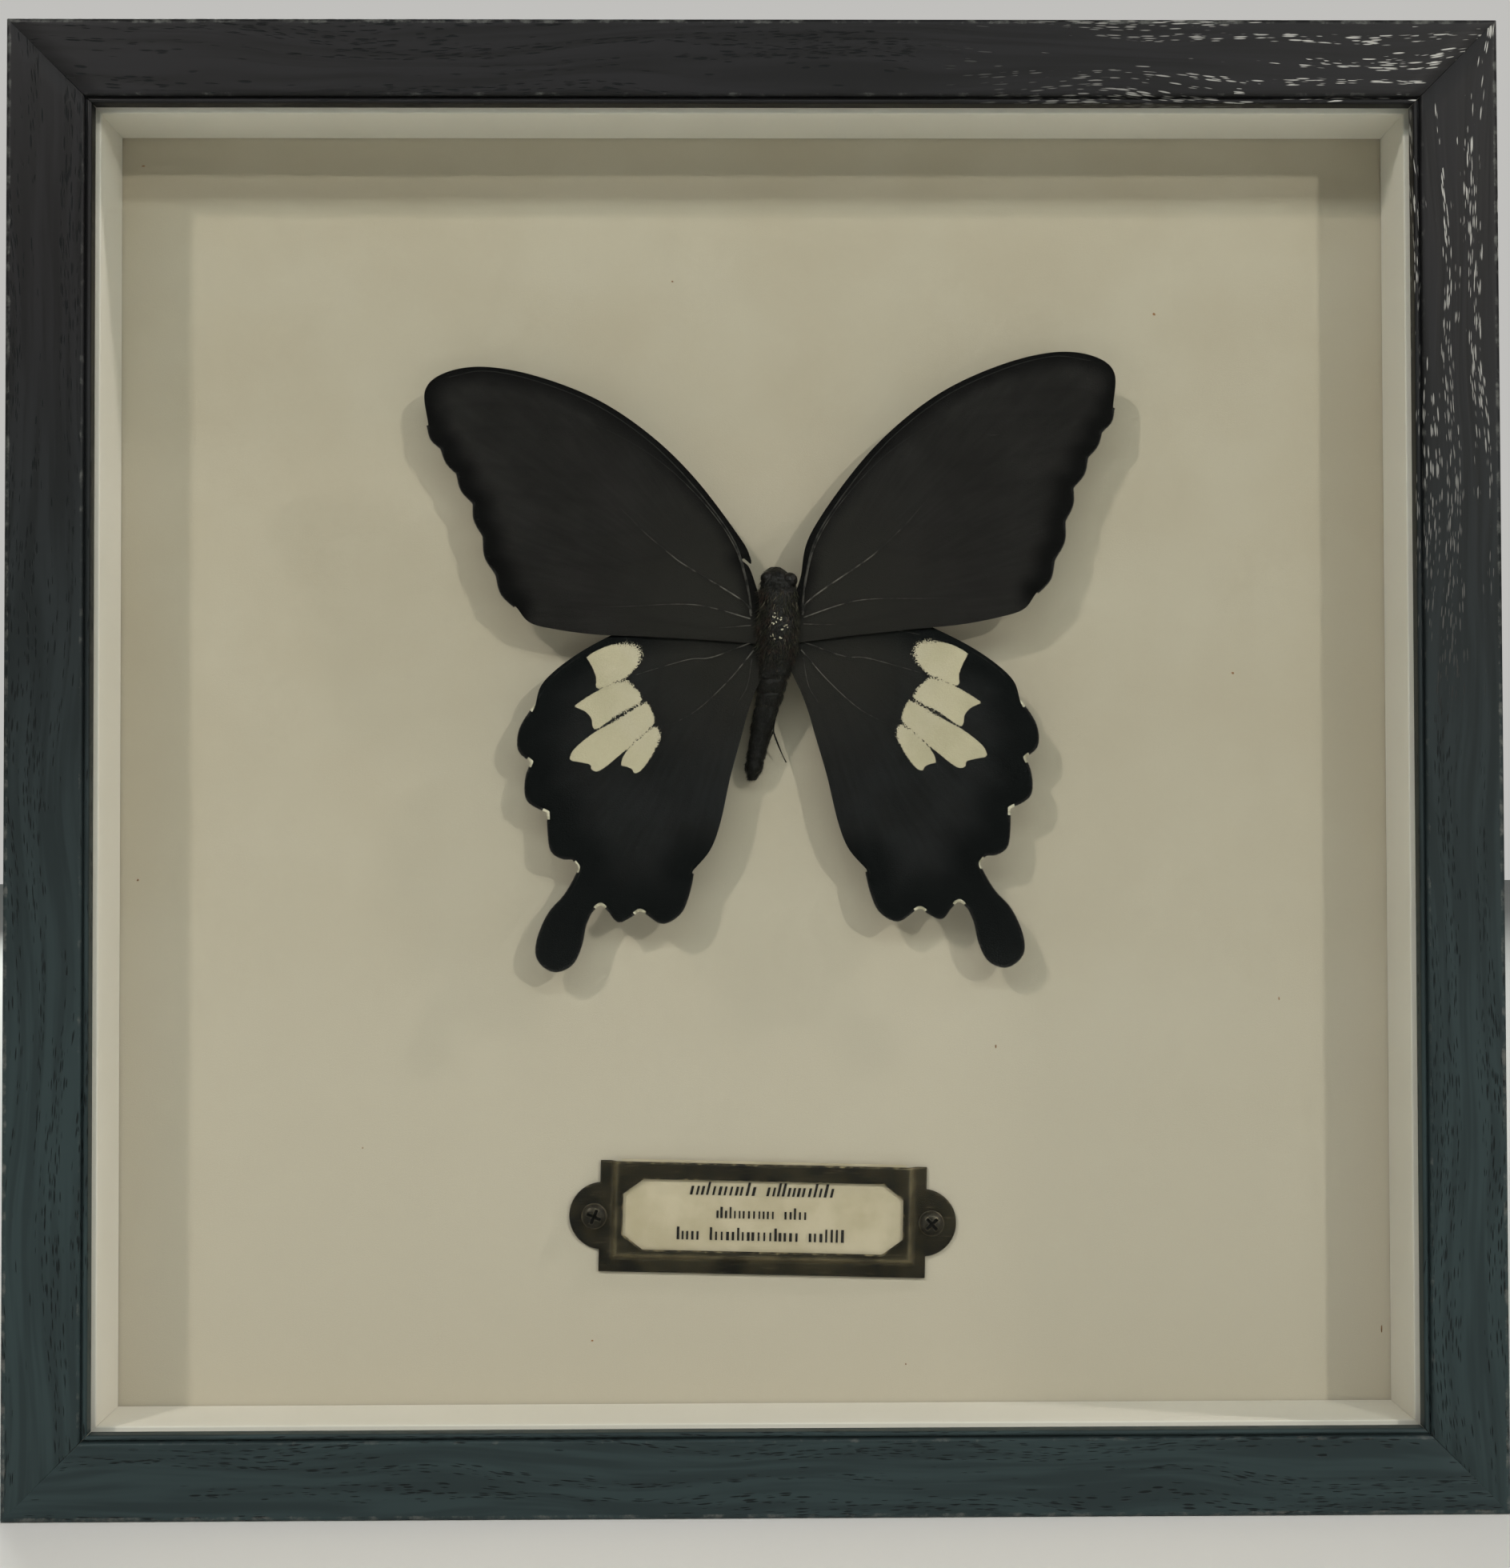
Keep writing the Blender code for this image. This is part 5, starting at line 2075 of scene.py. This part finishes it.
    def grow_fringe(self) -> None:
        """Grows the dark fringe, and the cream one in the notches."""
        spots, ways = self.fringe_places()
        chance = np.random.default_rng(21)
        pale = np.zeros(len(spots), bool)
        for notch in self.plan.cilia:
            pale |= np.linalg.norm(spots - self.flip(notch), axis=1) < self.notch_reach
        spins = np.arctan2(ways[:, 0], ways[:, 1]) + math.radians(self.datum().turn)
        spins = spins + chance.uniform(-self.fringe_swing, self.fringe_swing, len(spots))
        solid = np.column_stack([spots[:, 0], self.skin_depth(spots), spots[:, 1]])
        kinds = (("fringe", ~pale, self.fringe_long, self.fringe),
                 ("cilia", pale, self.cilia_long, self.pale_fringe))
        for kind, chosen, length, finish in kinds:
            if not chosen.any():
                continue
            place_copies(f"{self.stem()}_{kind}", self.fringe_blade(length), solid[chosen], spins[chosen],
                         self.datum(), finish)

    def build(self) -> None:
        """Makes the whole wing."""
        self.blade()
        self.raise_veins()
        self.grow_fringe()
        if self.plan.marks and self.side is Side.RIGHT:
            self.rub_marks()


@dataclass
class Body:
    """Head, thorax and abdomen with their fur, the eyes and the leg."""

    layout: Layout
    skin: Finish
    fur: Finish
    eye: Finish
    glint: Finish
    leg: Finish
    cork: Finish
    stations: Path = (
        (-0.3, 9.1, 0.8, 0.7, 11.8), (-0.3, 8.3, 1.8, 1.5, 11.6), (-0.1, 7.2, 2.3, 2.0, 11.4),
        (0.2, 5.8, 2.9, 2.4, 11.3), (0.2, 3.4, 3.0, 3.0, 11.4), (0.1, 0.0, 3.2, 3.3, 11.5),
        (0.0, -3.2, 3.1, 3.1, 11.7), (-0.3, -6.2, 2.7, 2.6, 12.1), (-0.9, -9.0, 2.3, 2.3, 12.7),
        (-1.3, -11.2, 2.0, 2.1, 13.2), (-2.0, -13.8, 1.8, 1.9, 13.8), (-3.1, -19.0, 1.5, 1.6, 14.9),
        (-3.6, -21.7, 1.35, 1.4, 15.5), (-3.9, -23.3, 0.6, 0.7, 15.9),
    )
    sides: int = 30
    segment: float = 2.05
    hairs_on_mm2: float = 13.0
    comb: tuple[float, float, float] = (-0.12, 0.12, -1.0)
    lift: float = 0.42
    stray: float = 0.34
    seed: int = 7
    # Pale flakes painted as highlights: how many in each glint, and how far they spread.
    flakes_in_glint: int = 4
    glint_spread: float = 0.22
    eyes: tuple[tuple[float, float, float, float], ...] = ((-1.5, 10.5, 7.3, 1.05), (1.9, 10.6, 7.0, 1.2))
    # Places of the painted glints on the thorax.
    glints: Path = ((-0.5, 1.2), (0.4, 0.7), (-0.5, 0.3), (0.5, -0.6), (1.1, -0.2), (-0.7, -1.7),
                    (0.4, -2.0))

    def rings(self) -> Array:
        """The form's stations, closely spaced, with the abdomen's joints drawn in.

        Returns:
            The rings, from the head to the tip.
        """
        rows = curve_through(self.stations, 8)
        up = rows[:, 1]
        in_tail = smoothstep(up, -6.0, -8.0)
        joint = np.exp(-((((up + 7.0) / self.segment) % 1.0 - 0.5) / 0.11) ** 2)
        collar = np.exp(-(((up - 5.9) / 0.35) ** 2))
        waist = np.exp(-(((up + 6.3) / 0.7) ** 2))
        narrow = 1 - 0.13 * joint * in_tail - 0.12 * collar - 0.08 * waist
        rows[:, 2] *= narrow
        rows[:, 3] *= narrow
        return rows

    def skin_mesh(self) -> Mesh:
        """The closed skin, with how thick and long its fur is.

        Returns:
            The skin.
        """
        rows = self.rings()
        angles = -np.arange(self.sides) * 2 * math.pi / self.sides
        rings, coats, lengths = [], [], []
        for across, up, wide, high, depth in rows:
            swell = 1 + 0.03 * np.sin(3 * angles + up) + 0.02 * np.sin(5 * angles - 2 * up)
            front = np.sin(angles)
            rings.append(np.column_stack([across + wide * swell * np.cos(angles),
                                          depth - high * swell * front, np.full(self.sides, up)]))
            bald = np.exp(-((np.hypot(across + wide * np.cos(angles) - 0.2, up + 0.2) / 1.7) ** 4))
            coat = 1 - 0.85 * bald * (front > 0)
            coats.append(coat * (0.45 if up > 6.6 else 1.0))
            long = 0.36 + 0.6 * smoothstep(np.array([up]), -7.5, -2.0)[0] - 0.3 * (up > 6.4)
            lengths.append(np.full(self.sides, long))
        faces = ring_faces(len(rings), self.sides)
        values = {"coat": np.concatenate(coats), "length": np.concatenate(lengths)}
        return Shell(np.vstack(rings), faces, values).mesh("body_skin", self.layout.thorax, 70.0)

    def hair(self) -> Mesh:
        """One hair, 1 mm long, that rises from the origin and bends a little.

        Returns:
            The hair.
        """
        rings = []
        steps = ((0.0, 0.0, 0.045), (0.45, 0.06, 0.036), (0.8, 0.17, 0.02), (1.0, 0.27, 0.005))
        for up, bend, radius in steps:
            angles = np.array([4.7, 2.6, 0.5])
            rings.append(np.column_stack([bend + radius * np.cos(angles), radius * np.sin(angles),
                                          np.full(3, up)]))
        return Shell(np.vstack(rings), ring_faces(4, 3)).mesh("one_hair", ORIGIN, 180.0)

    def grow_fur(self, skin: Mesh) -> None:
        """Grows fur on the skin.

        Args:
            skin: a copy of the skin, which is used up.
        """
        part = spare(self.hair())
        fur = Fur().apply(skin, Hair=part, Density=self.hairs_on_mm2 / MM**2, Comb=self.comb, Lift=self.lift,
                          Stray=self.stray, Seed=self.seed, Material=self.fur.material())
        drop(part)
        fur.name = "body_fur"
        add_piece(fur, None)

    def round_eye(self, across: float, depth: float, up: float, radius: float) -> Shell:
        """One eye as a ball with flat poles.

        Args:
            across: the eye's middle, across.
            depth: its depth.
            up: its height.
            radius: its radius.

        Returns:
            The closed shell.
        """
        turns = np.radians(np.linspace(6, 174, 15))
        profile = [(radius * math.sin(t), depth - radius * math.cos(t)) for t in turns]
        return lathe(profile, (across, up), 24)

    def scatter_glints(self) -> None:
        """Lays small pale flakes on the bald top of the thorax, as painted highlights for the glints of its
        glossy skin.
        """
        chance = random.Random(8)
        spots, spins = [], []
        for across, up in self.glints:
            for _ in range(self.flakes_in_glint):
                x = across + chance.gauss(0, self.glint_spread)
                z = up + chance.gauss(0, self.glint_spread)
                depth = 11.5 - 3.3 * math.sqrt(max(0.0, 1 - (x / 3.2) ** 2)) - 0.10
                spots.append((x, depth, z))
                spins.append(chance.uniform(0, math.pi))
        rows = [(-0.13, -0.05), (0.09, -0.08), (0.15, 0.03), (0.0, 0.09), (-0.12, 0.06)]
        loop = np.array(rows)
        points, triangles = fill([loop], 0, loop.mean(axis=0, keepdims=True))
        ones = np.ones(len(points))
        scale = between(points, triangles, -0.03 * ones - 0.2 * points[:, 0], 0.02 * ones)
        place_copies("thorax_pale_scales", scale.mesh("pale_scale", ORIGIN), np.array(spots),
                     np.array(spins), self.layout.thorax, self.glint)

    def make_leg(self) -> None:
        """Makes the hind leg, its second joint and its spines."""
        chance = random.Random(3)
        main = ((-0.4, 14.0, -13.7), (-0.55, 14.4, -15.7), (0.0, 15.2, -17.4), (0.9, 16.0, -19.5),
                (1.4, 16.4, -20.5))
        branch = ((-0.55, 14.4, -15.8), (-1.1, 14.7, -17.0), (-1.6, 15.2, -18.5))
        lines = [(main, 0.17, 0.07), (branch, 0.13, 0.05)]
        for across, depth, up in curve_through(main, 4)[3:-1]:
            way = chance.choice((-1, 1))
            tip = (across + way * 0.32, depth + 0.02, up - 0.25)
            lines.append((((across, depth, up), tip), 0.03, 0.012))
        curves, widths = [], []
        for path, start, end in lines:
            curve = curve_through(path, 6)
            curves.append(curve)
            knots = 1 + 0.18 * np.cos(np.linspace(0, 4 * math.pi, len(curve)))
            widths.append(np.linspace(start, end, len(curve)) * knots)
        rubs = [np.zeros(len(curve)) for curve in curves]
        values = {"width": widths, "rub": rubs}
        sweep_tubes("hind_leg", curves, self.layout.thorax, values, 9, self.leg,
                    ["butterfly_leg"])

    def build(self) -> None:
        """Makes the body and all that grows on it."""
        mesh = self.skin_mesh()
        self.grow_fur(mesh.copy())
        add_piece(mesh, self.skin.material(), ["butterfly_body"])
        eyes = self.round_eye(*self.eyes[0]).join(self.round_eye(*self.eyes[1]))
        add_piece(eyes.mesh("compound_eyes", self.layout.thorax, 80.0), self.eye.material())
        self.scatter_glints()
        self.make_leg()
        dress("specimen_block", self.cork.material())


# ---------------------------------------------------------------- the label


@dataclass
class LabelHolder:
    """The pressed holder: flange, two ears, raised plate and a window with its corners cut."""

    layout: Layout
    finish: Finish
    screw_finish: Finish
    card: Finish
    ink: Finish
    flange: tuple[float, float] = (25.1, 8.5)
    ear: tuple[float, float] = (24.6, 5.15)
    sheet: float = 0.5
    flange_front: float = 17.2
    plate_front: float = 16.1
    plate: tuple[float, float] = (22.9, -6.1)
    window: tuple[float, float, float, float, float] = (21.5, 5.4, 3.1, 2.3, 0.5)
    screw_place: float = 25.9
    screw_hole: float = 1.15
    head: tuple[float, float] = (1.95, 15.8)
    recess: tuple[float, float, float] = (1.2, 0.3, 0.6)
    card_gap: float = 0.2
    ease_gaps: tuple[float, float] = (0.12, 0.28)
    ease: float = 0.2
    clear_gap: float = 0.36
    stroke_thick: float = 0.03
    screw_spins: tuple[float, float] = (24.0, 48.0)
    rows: tuple[tuple[float, float, float, tuple[int, ...]], ...] = (
        (4.3, 1.35, 0.22, (12, 13)), (0.7, 1.15, 0.0, (13, 5)), (-2.6, 1.3, 0.0, (5, 17, 7)),
    )

    def outline(self) -> Array:
        """The flange with its round ears, counter-clockwise.

        Returns:
            The closed outline.
        """
        wide, high = self.flange
        place, radius = self.ear
        start = math.acos((wide - place) / radius)
        ear = np.linspace(-start, start, 33)
        right = np.column_stack([place + radius * np.cos(ear), radius * np.sin(ear)])
        low = np.column_stack([np.linspace(-wide, wide, 60), np.full(60, -high)])
        return np.vstack([low, right, -low, -right])

    def window_loop(self) -> Array:
        """The window, counter-clockwise.

        Returns:
            The closed outline.
        """
        wide, high, cut_wide, cut_high, rise = self.window
        corner = [(wide, cut_high - high), (wide, high - cut_high), (wide - cut_wide, high),
                  (cut_wide - wide, high), (-wide, high - cut_high), (-wide, cut_high - high),
                  (cut_wide - wide, -high), (wide - cut_wide, -high)]
        return np.array(corner) + (0.0, rise)

    def holes(self) -> list[Array]:
        """The closed outlines of the two screw holes."""
        return [circle(self.screw_hole, 20) + (x, 0.0) for x in (-self.screw_place, self.screw_place)]

    def sheet_shell(self) -> Shell:
        """The pressed sheet, with its step, its eased edges, its marked arrises and the line along its bend
        where a highlight is painted.

        Returns:
            The pressed sheet.
        """
        outline, window = self.outline(), self.window_loop()
        holes = self.holes()
        wide, low = self.plate
        grid = hex_grid((-30, -9), (30, 9), 0.5)
        fine = hex_grid((-30, -9), (30, 9), 0.26)
        step = np.minimum(wide - abs(fine[:, 0]), fine[:, 1] - low)
        grid = np.vstack([grid, fine[abs(step) < 0.8]])
        clear = depth_inside(grid, outline) > self.clear_gap
        for hole in (window, *holes):
            clear &= depth_inside(grid, hole) < -self.clear_gap
        guides = [offset_loop(outline, gap) for gap in self.ease_gaps]
        guides += [offset_loop(window, -gap) for gap in self.ease_gaps]
        points, triangles = fill([outline, window, *holes, *guides], 3, grid[clear])
        step = np.minimum(wide - abs(points[:, 0]), points[:, 1] - low)
        raised = smoothstep(step, -0.5, 0.5)
        front = self.flange_front + (self.plate_front - self.flange_front) * raised
        outer = np.maximum(depth_inside(points, outline), 0)
        edge = np.minimum(outer, np.maximum(-depth_inside(points, window), 0))
        inner = 1 - np.clip(edge / self.ease_gaps[1], 0, 1)
        ease = self.ease * (1 - np.sqrt(np.clip(1 - inner**2, 0, 1)))
        dent = 0.05 * np.sin(0.8 * points[:, 0] + 1) * np.sin(0.9 * points[:, 1])
        shell = between(points, triangles, front + ease + dent * 0.5, front + self.sheet)
        # Painted highlight: a line along the bend of the step, on the front face only.
        fold = np.exp(-(((step - 0.1) / 0.42) ** 2))
        arris = np.clip(0.8 * (1 - smoothstep(edge, 0.05, 0.6)) + 0.2 * raised, 0, 1)
        shell.values = {"arris": np.concatenate([arris, arris]), "fold": np.concatenate([fold, fold * 0])}
        return shell

    def screw_head(self) -> Shell:
        """One cross-head screw at the origin of the label's frame.

        Returns:
            The head and shank.
        """
        radius, top = self.head
        long_arm, short_arm, deep = self.recess
        rim = circle(radius, 40)
        quarter = np.array([(short_arm, -long_arm), (short_arm, -short_arm), (long_arm, -short_arm)])
        cross = np.vstack([quarter, quarter[::-1] @ np.array([[1, 0], [0, -1]]), -quarter,
                           -(quarter[::-1] @ np.array([[1, 0], [0, -1]]))])
        grid = hex_grid((-2, -2), (2, 2), 0.2)
        gap = np.hypot(grid[:, 0], grid[:, 1])
        bottom = offset_loop(cross, 0.09)
        clear = (gap < radius - 0.15) & (abs(depth_inside(grid, cross)) > 0.12)
        points, triangles = fill([rim, cross, bottom], 0, grid[clear])
        gap = np.hypot(points[:, 0], points[:, 1])
        dome = top + 0.72 * (gap / radius) ** 4
        sunk = deep * smoothstep(depth_inside(points, cross), 0.01, 0.09)
        front = dome + sunk * (1 - 0.35 * smoothstep(gap, 0.3, long_arm))
        shell = between(points, triangles, front, np.full(len(points), self.flange_front - 0.02))
        lip = np.exp(-((depth_inside(points, cross) / 0.1) ** 2))
        arris = np.clip(smoothstep(gap, radius - 0.5, radius) + lip, 0, 1) * 0.8
        # This marks the floor of the cross recess, where the finish paints shade.
        floor = smoothstep(depth_inside(points, cross), 0.0, 0.06)
        shell.values = {"arris": np.concatenate([arris, arris]), "sunk": np.concatenate([floor, floor])}
        depths = ((0.95, self.flange_front - 0.05), (0.95, 19.5), (0.2, 20.4))
        shank = lathe(depths, (0.0, 0.0), 16)
        shank.values = {key: np.zeros(len(shank.points)) for key in shell.values}
        return shell.join(shank)

    def drive_screws(self) -> None:
        """Puts a screw in each ear."""
        spots = np.array([(-self.screw_place, 0.0, 0.0), (self.screw_place, 0.0, 0.0)])
        head = self.screw_head().mesh("cross_head_screw", ORIGIN)
        place_copies("label_screws", head, spots, np.radians(self.screw_spins), self.layout.label,
                     self.screw_finish, ["label_screw_left", "label_screw_right"])

    def rule_card(self) -> None:
        """Rules three rows of plain short strokes on the card, with no letters."""
        chance = random.Random(14)
        front = self.plate_front + self.sheet + self.card_gap
        strokes = []
        for rise, high, slant, groups in self.rows:
            pitch = 0.62 * high
            across = -pitch * (sum(groups) + 1.6 * (len(groups) - 1)) / 2
            for count in groups:
                for _ in range(count):
                    tall = high * chance.choice((1.0, 1.0, 1.0, 1.5))
                    wide = high * chance.uniform(0.22, 0.34)
                    loop = rectangle(wide / 2, 0.0, tall)
                    loop[:, 0] += loop[:, 1] * slant + across
                    loop[:, 1] += rise - high / 2
                    strokes.append(plate(loop, front - self.stroke_thick, front))
                    across += pitch * chance.uniform(0.85, 1.15)
                across += 1.6 * pitch
        mesh = reduce(Shell.join, strokes).mesh("card_strokes", self.layout.label)
        add_piece(mesh, self.ink.material())

    def build(self) -> None:
        """Makes the holder, its screws and its card's finish."""
        mesh = self.sheet_shell().mesh("pressed_label_holder", self.layout.label, 50.0)
        add_piece(mesh, self.finish.material(), ["label_holder"])
        self.drive_screws()
        dress("label_card", self.card.material())
        self.rule_card()


# ---------------------------------------------------------------- the studio


@dataclass(frozen=True)
class Lamp:
    """A soft light, square or with a height of its own."""

    name: str
    place: tuple[float, float, float]
    side: float
    power: float
    tint: Colour
    high: float = 0.0


@dataclass
class Studio:
    """A plain pale floor, soft lights, an even surround and the camera."""

    layout: Layout
    floor: Finish
    surround: Colour = (0.95, 1.0, 0.98)
    strength: tuple[float, float] = (0.05, 0.17)
    backdrop: Colour = (0.86, 0.85, 0.82)
    backdrop_strength: float = 0.62
    lamps: tuple[Lamp, ...] = (
        Lamp("soft_light_right", (0.866, -1.364, 0.667), 0.05, 6.5, (1.0, 0.95, 0.89)),
        Lamp("soft_light_left", (-0.868, -1.258, 1.075), 0.08, 7.7, (1.05, 0.95, 0.9)),
        Lamp("raking_light", (1.85, -0.53, 1.64), 0.12, 14.5, (1.05, 0.95, 0.93)),
        Lamp("wide_light", (0.0, -1.3, 0.95), 2.4, 9.5, (0.91, 0.96, 0.97), 0.12),
        Lamp("back_light", (-0.5, 1.7, 1.1), 0.9, 20.0, (0.97, 1.0, 0.97)),
    )
    lens: float = 54.33
    camera_place: tuple[float, float, float] = (-4.0, -363.9, 99.5)
    pitch: float = 1.31
    yaw: float = 0.63
    roll: float = -0.15

    def lay_floor(self) -> None:
        """Lays the floor."""
        mesh = bpy.data.meshes.new("studio_floor")
        corners = [(-5, -5, 0), (5, -5, 0), (5, 5, 0), (-5, 5, 0)]
        mesh.from_pydata(corners, [], [(0, 1, 2, 3)])
        mesh.materials.append(self.floor.material())
        floor = bpy.data.objects.new("studio_floor", mesh)
        bpy.context.scene.collection.objects.link(floor)

    def hang_lamps(self) -> None:
        """Hangs the lamps and aims them at the box."""
        middle = Vector((self.layout.box.across, self.layout.box.front, self.layout.box.up)) * MM
        for lamp in self.lamps:
            light = bpy.data.lights.new(lamp.name, "AREA")
            light.shape = "RECTANGLE"
            light.size = lamp.side
            light.size_y = lamp.high or lamp.side
            light.energy = lamp.power
            light.color = lamp.tint
            holder = bpy.data.objects.new(lamp.name, light)
            holder.location = lamp.place
            holder.rotation_euler = (middle - holder.location).to_track_quat("-Z", "Y").to_euler()
            bpy.context.scene.collection.objects.link(holder)

    def light_surround(self) -> None:
        """Fills the surround with an even light that looks pale to the camera."""
        world = bpy.data.worlds.new("studio_surround")
        bpy.context.scene.world = world
        world.use_nodes = True
        world.node_tree.nodes.clear()
        graph = Graph(world.node_tree)
        way = graph.split(graph.node("ShaderNodeTexCoord").outputs["Generated"])
        strength = graph.step(way.outputs[2], -0.1, 0.95, *self.strength)
        even = graph.node("ShaderNodeBackground", {"Color": self.surround, "Strength": strength})
        seen = graph.node("ShaderNodeBackground", {"Color": self.backdrop,
                                                   "Strength": self.backdrop_strength})
        camera = graph.node("ShaderNodeLightPath").outputs["Is Camera Ray"]
        mixed = graph.node("ShaderNodeMixShader", {0: camera, 1: even.outputs[0], 2: seen.outputs[0]})
        graph.node("ShaderNodeOutputWorld", {"Surface": mixed.outputs[0]})

    def place_camera(self) -> None:
        """Places the camera."""
        lens = bpy.data.cameras.new("camera")
        lens.lens = self.lens
        lens.clip_start = 0.01
        camera = bpy.data.objects.new("camera", lens)
        camera.location = Vector(self.camera_place) * MM
        turn = Matrix.Rotation(math.radians(-self.yaw), 4, "Z")
        turn = turn @ Matrix.Rotation(math.radians(90 + self.pitch), 4, "X")
        turn = turn @ Matrix.Rotation(math.radians(self.roll), 4, "Z")
        camera.rotation_euler = turn.to_euler()
        bpy.context.scene.collection.objects.link(camera)
        bpy.context.scene.camera = camera

    def build(self) -> None:
        """Sets up the studio."""
        self.lay_floor()
        self.hang_lamps()
        self.light_surround()
        self.place_camera()
        bpy.context.scene.view_settings.view_transform = "Standard"


def write_sizes() -> None:
    """Brings the view layer up to date."""
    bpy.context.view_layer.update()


TORN_ROOT: Path = ((2.2, 3.0), (2.9, 6.0), (3.95, 9.3), (5.0, 10.45), (4.75, 10.75), (3.75, 9.95),
                   (3.9, 11.2), (5.3, 14.0))


def main() -> None:
    """Builds every sub-assembly in order."""
    logging.basicConfig(level=logging.INFO, format="%(message)s")
    layout = Layout.from_frame()
    steel = Metal("zinc_steel")
    Moulding(layout, BlackWood("black_wood")).build()
    liner_card = PaperFace("white_liner_card", tone(223, 219, 209), tone(218, 214, 203),
                           tone(180, 170, 150), 40.0, 0.5, 0.015, 0.01)
    Liner(layout, liner_card).build()
    dress("glass_pane", ClearGlass("picture_glass").material())
    # The board takes painted light that lightens its lower part.
    board = PaperFace("pale_board", painted_light_foot=tone(190, 182, 165))
    dress("mounting_board", board.material())
    fibre = Fibreboard("fibreboard")
    Specks(layout, fibre).build()
    BackFittings(layout, steel, Rubber("dark_rubber"), fibre).build()
    skin = {
        FOREWING.name: WingScales("forewing_scales"),
        HINDWING.name: WingScales("hindwing_scales", tone(20, 21, 21), tone(30, 32, 33),
                                  rim=tone(9, 12, 12), rim_reach=(9.0, 2.6)),
    }
    hair = Hair("body_hair", middle=layout.thorax.up)
    veins = VeinSkin("vein_skin")
    fringe = Horn("fringe_scales", tone(4, 4, 3), tone(12, 11, 10), (0.6, 0.8))
    # This pale finish serves the cream cilia in the notches and the flakes painted as glints on the thorax.
    pale = Horn("pale_scales", tone(150, 144, 122), tone(206, 200, 178), (0.4, 0.6))
    rubbed = Horn("rubbed_lines", tone(64, 64, 58), tone(112, 110, 100), (0.4, 0.6))
    for plan in (FOREWING, HINDWING):
        for side in Side:
            torn = TORN_ROOT if (plan is FOREWING and side is Side.LEFT) else ()
            Wing(plan, side, layout, skin[plan.name], veins, fringe, pale, rubbed, torn_root=torn).build()
    cork = PaperFace("cork_block", tone(168, 128, 86), tone(140, 100, 62), tone(70, 44, 24), 3.0, 0.6,
                     0.06, 0.3)
    Body(layout, Horn("body_skin"), hair, CompoundEye("compound_eye"), pale, Horn("leg_skin"), cork).build()
    bronze = Metal("aged_bronze", tone(19, 17, 11), tone(52, 47, 33), tone(150, 138, 108), 0.75,
                   (0.38, 0.6), 0.42, 4.0)
    screw = Metal("screw_bronze", tone(34, 32, 27), tone(60, 56, 47), tone(124, 115, 94), 0.8, (0.35, 0.55),
                  0.75, 2.0)
    card = PaperFace("cream_card", tone(196, 185, 160), tone(179, 168, 141), tone(110, 92, 66), 7.0, 0.4,
                     0.02, 0.12)
    ink = PaperFace("card_ink", tone(22, 20, 18), tone(36, 33, 30), tone(12, 10, 9), 2.0, 0.2, 0.005)
    LabelHolder(layout, bronze, screw, card, ink).build()
    Studio(layout, StageFloor("studio_floor")).build()
    write_sizes()
    LOG.info("all pieces are built")


if __name__ == "__main__":
    main()
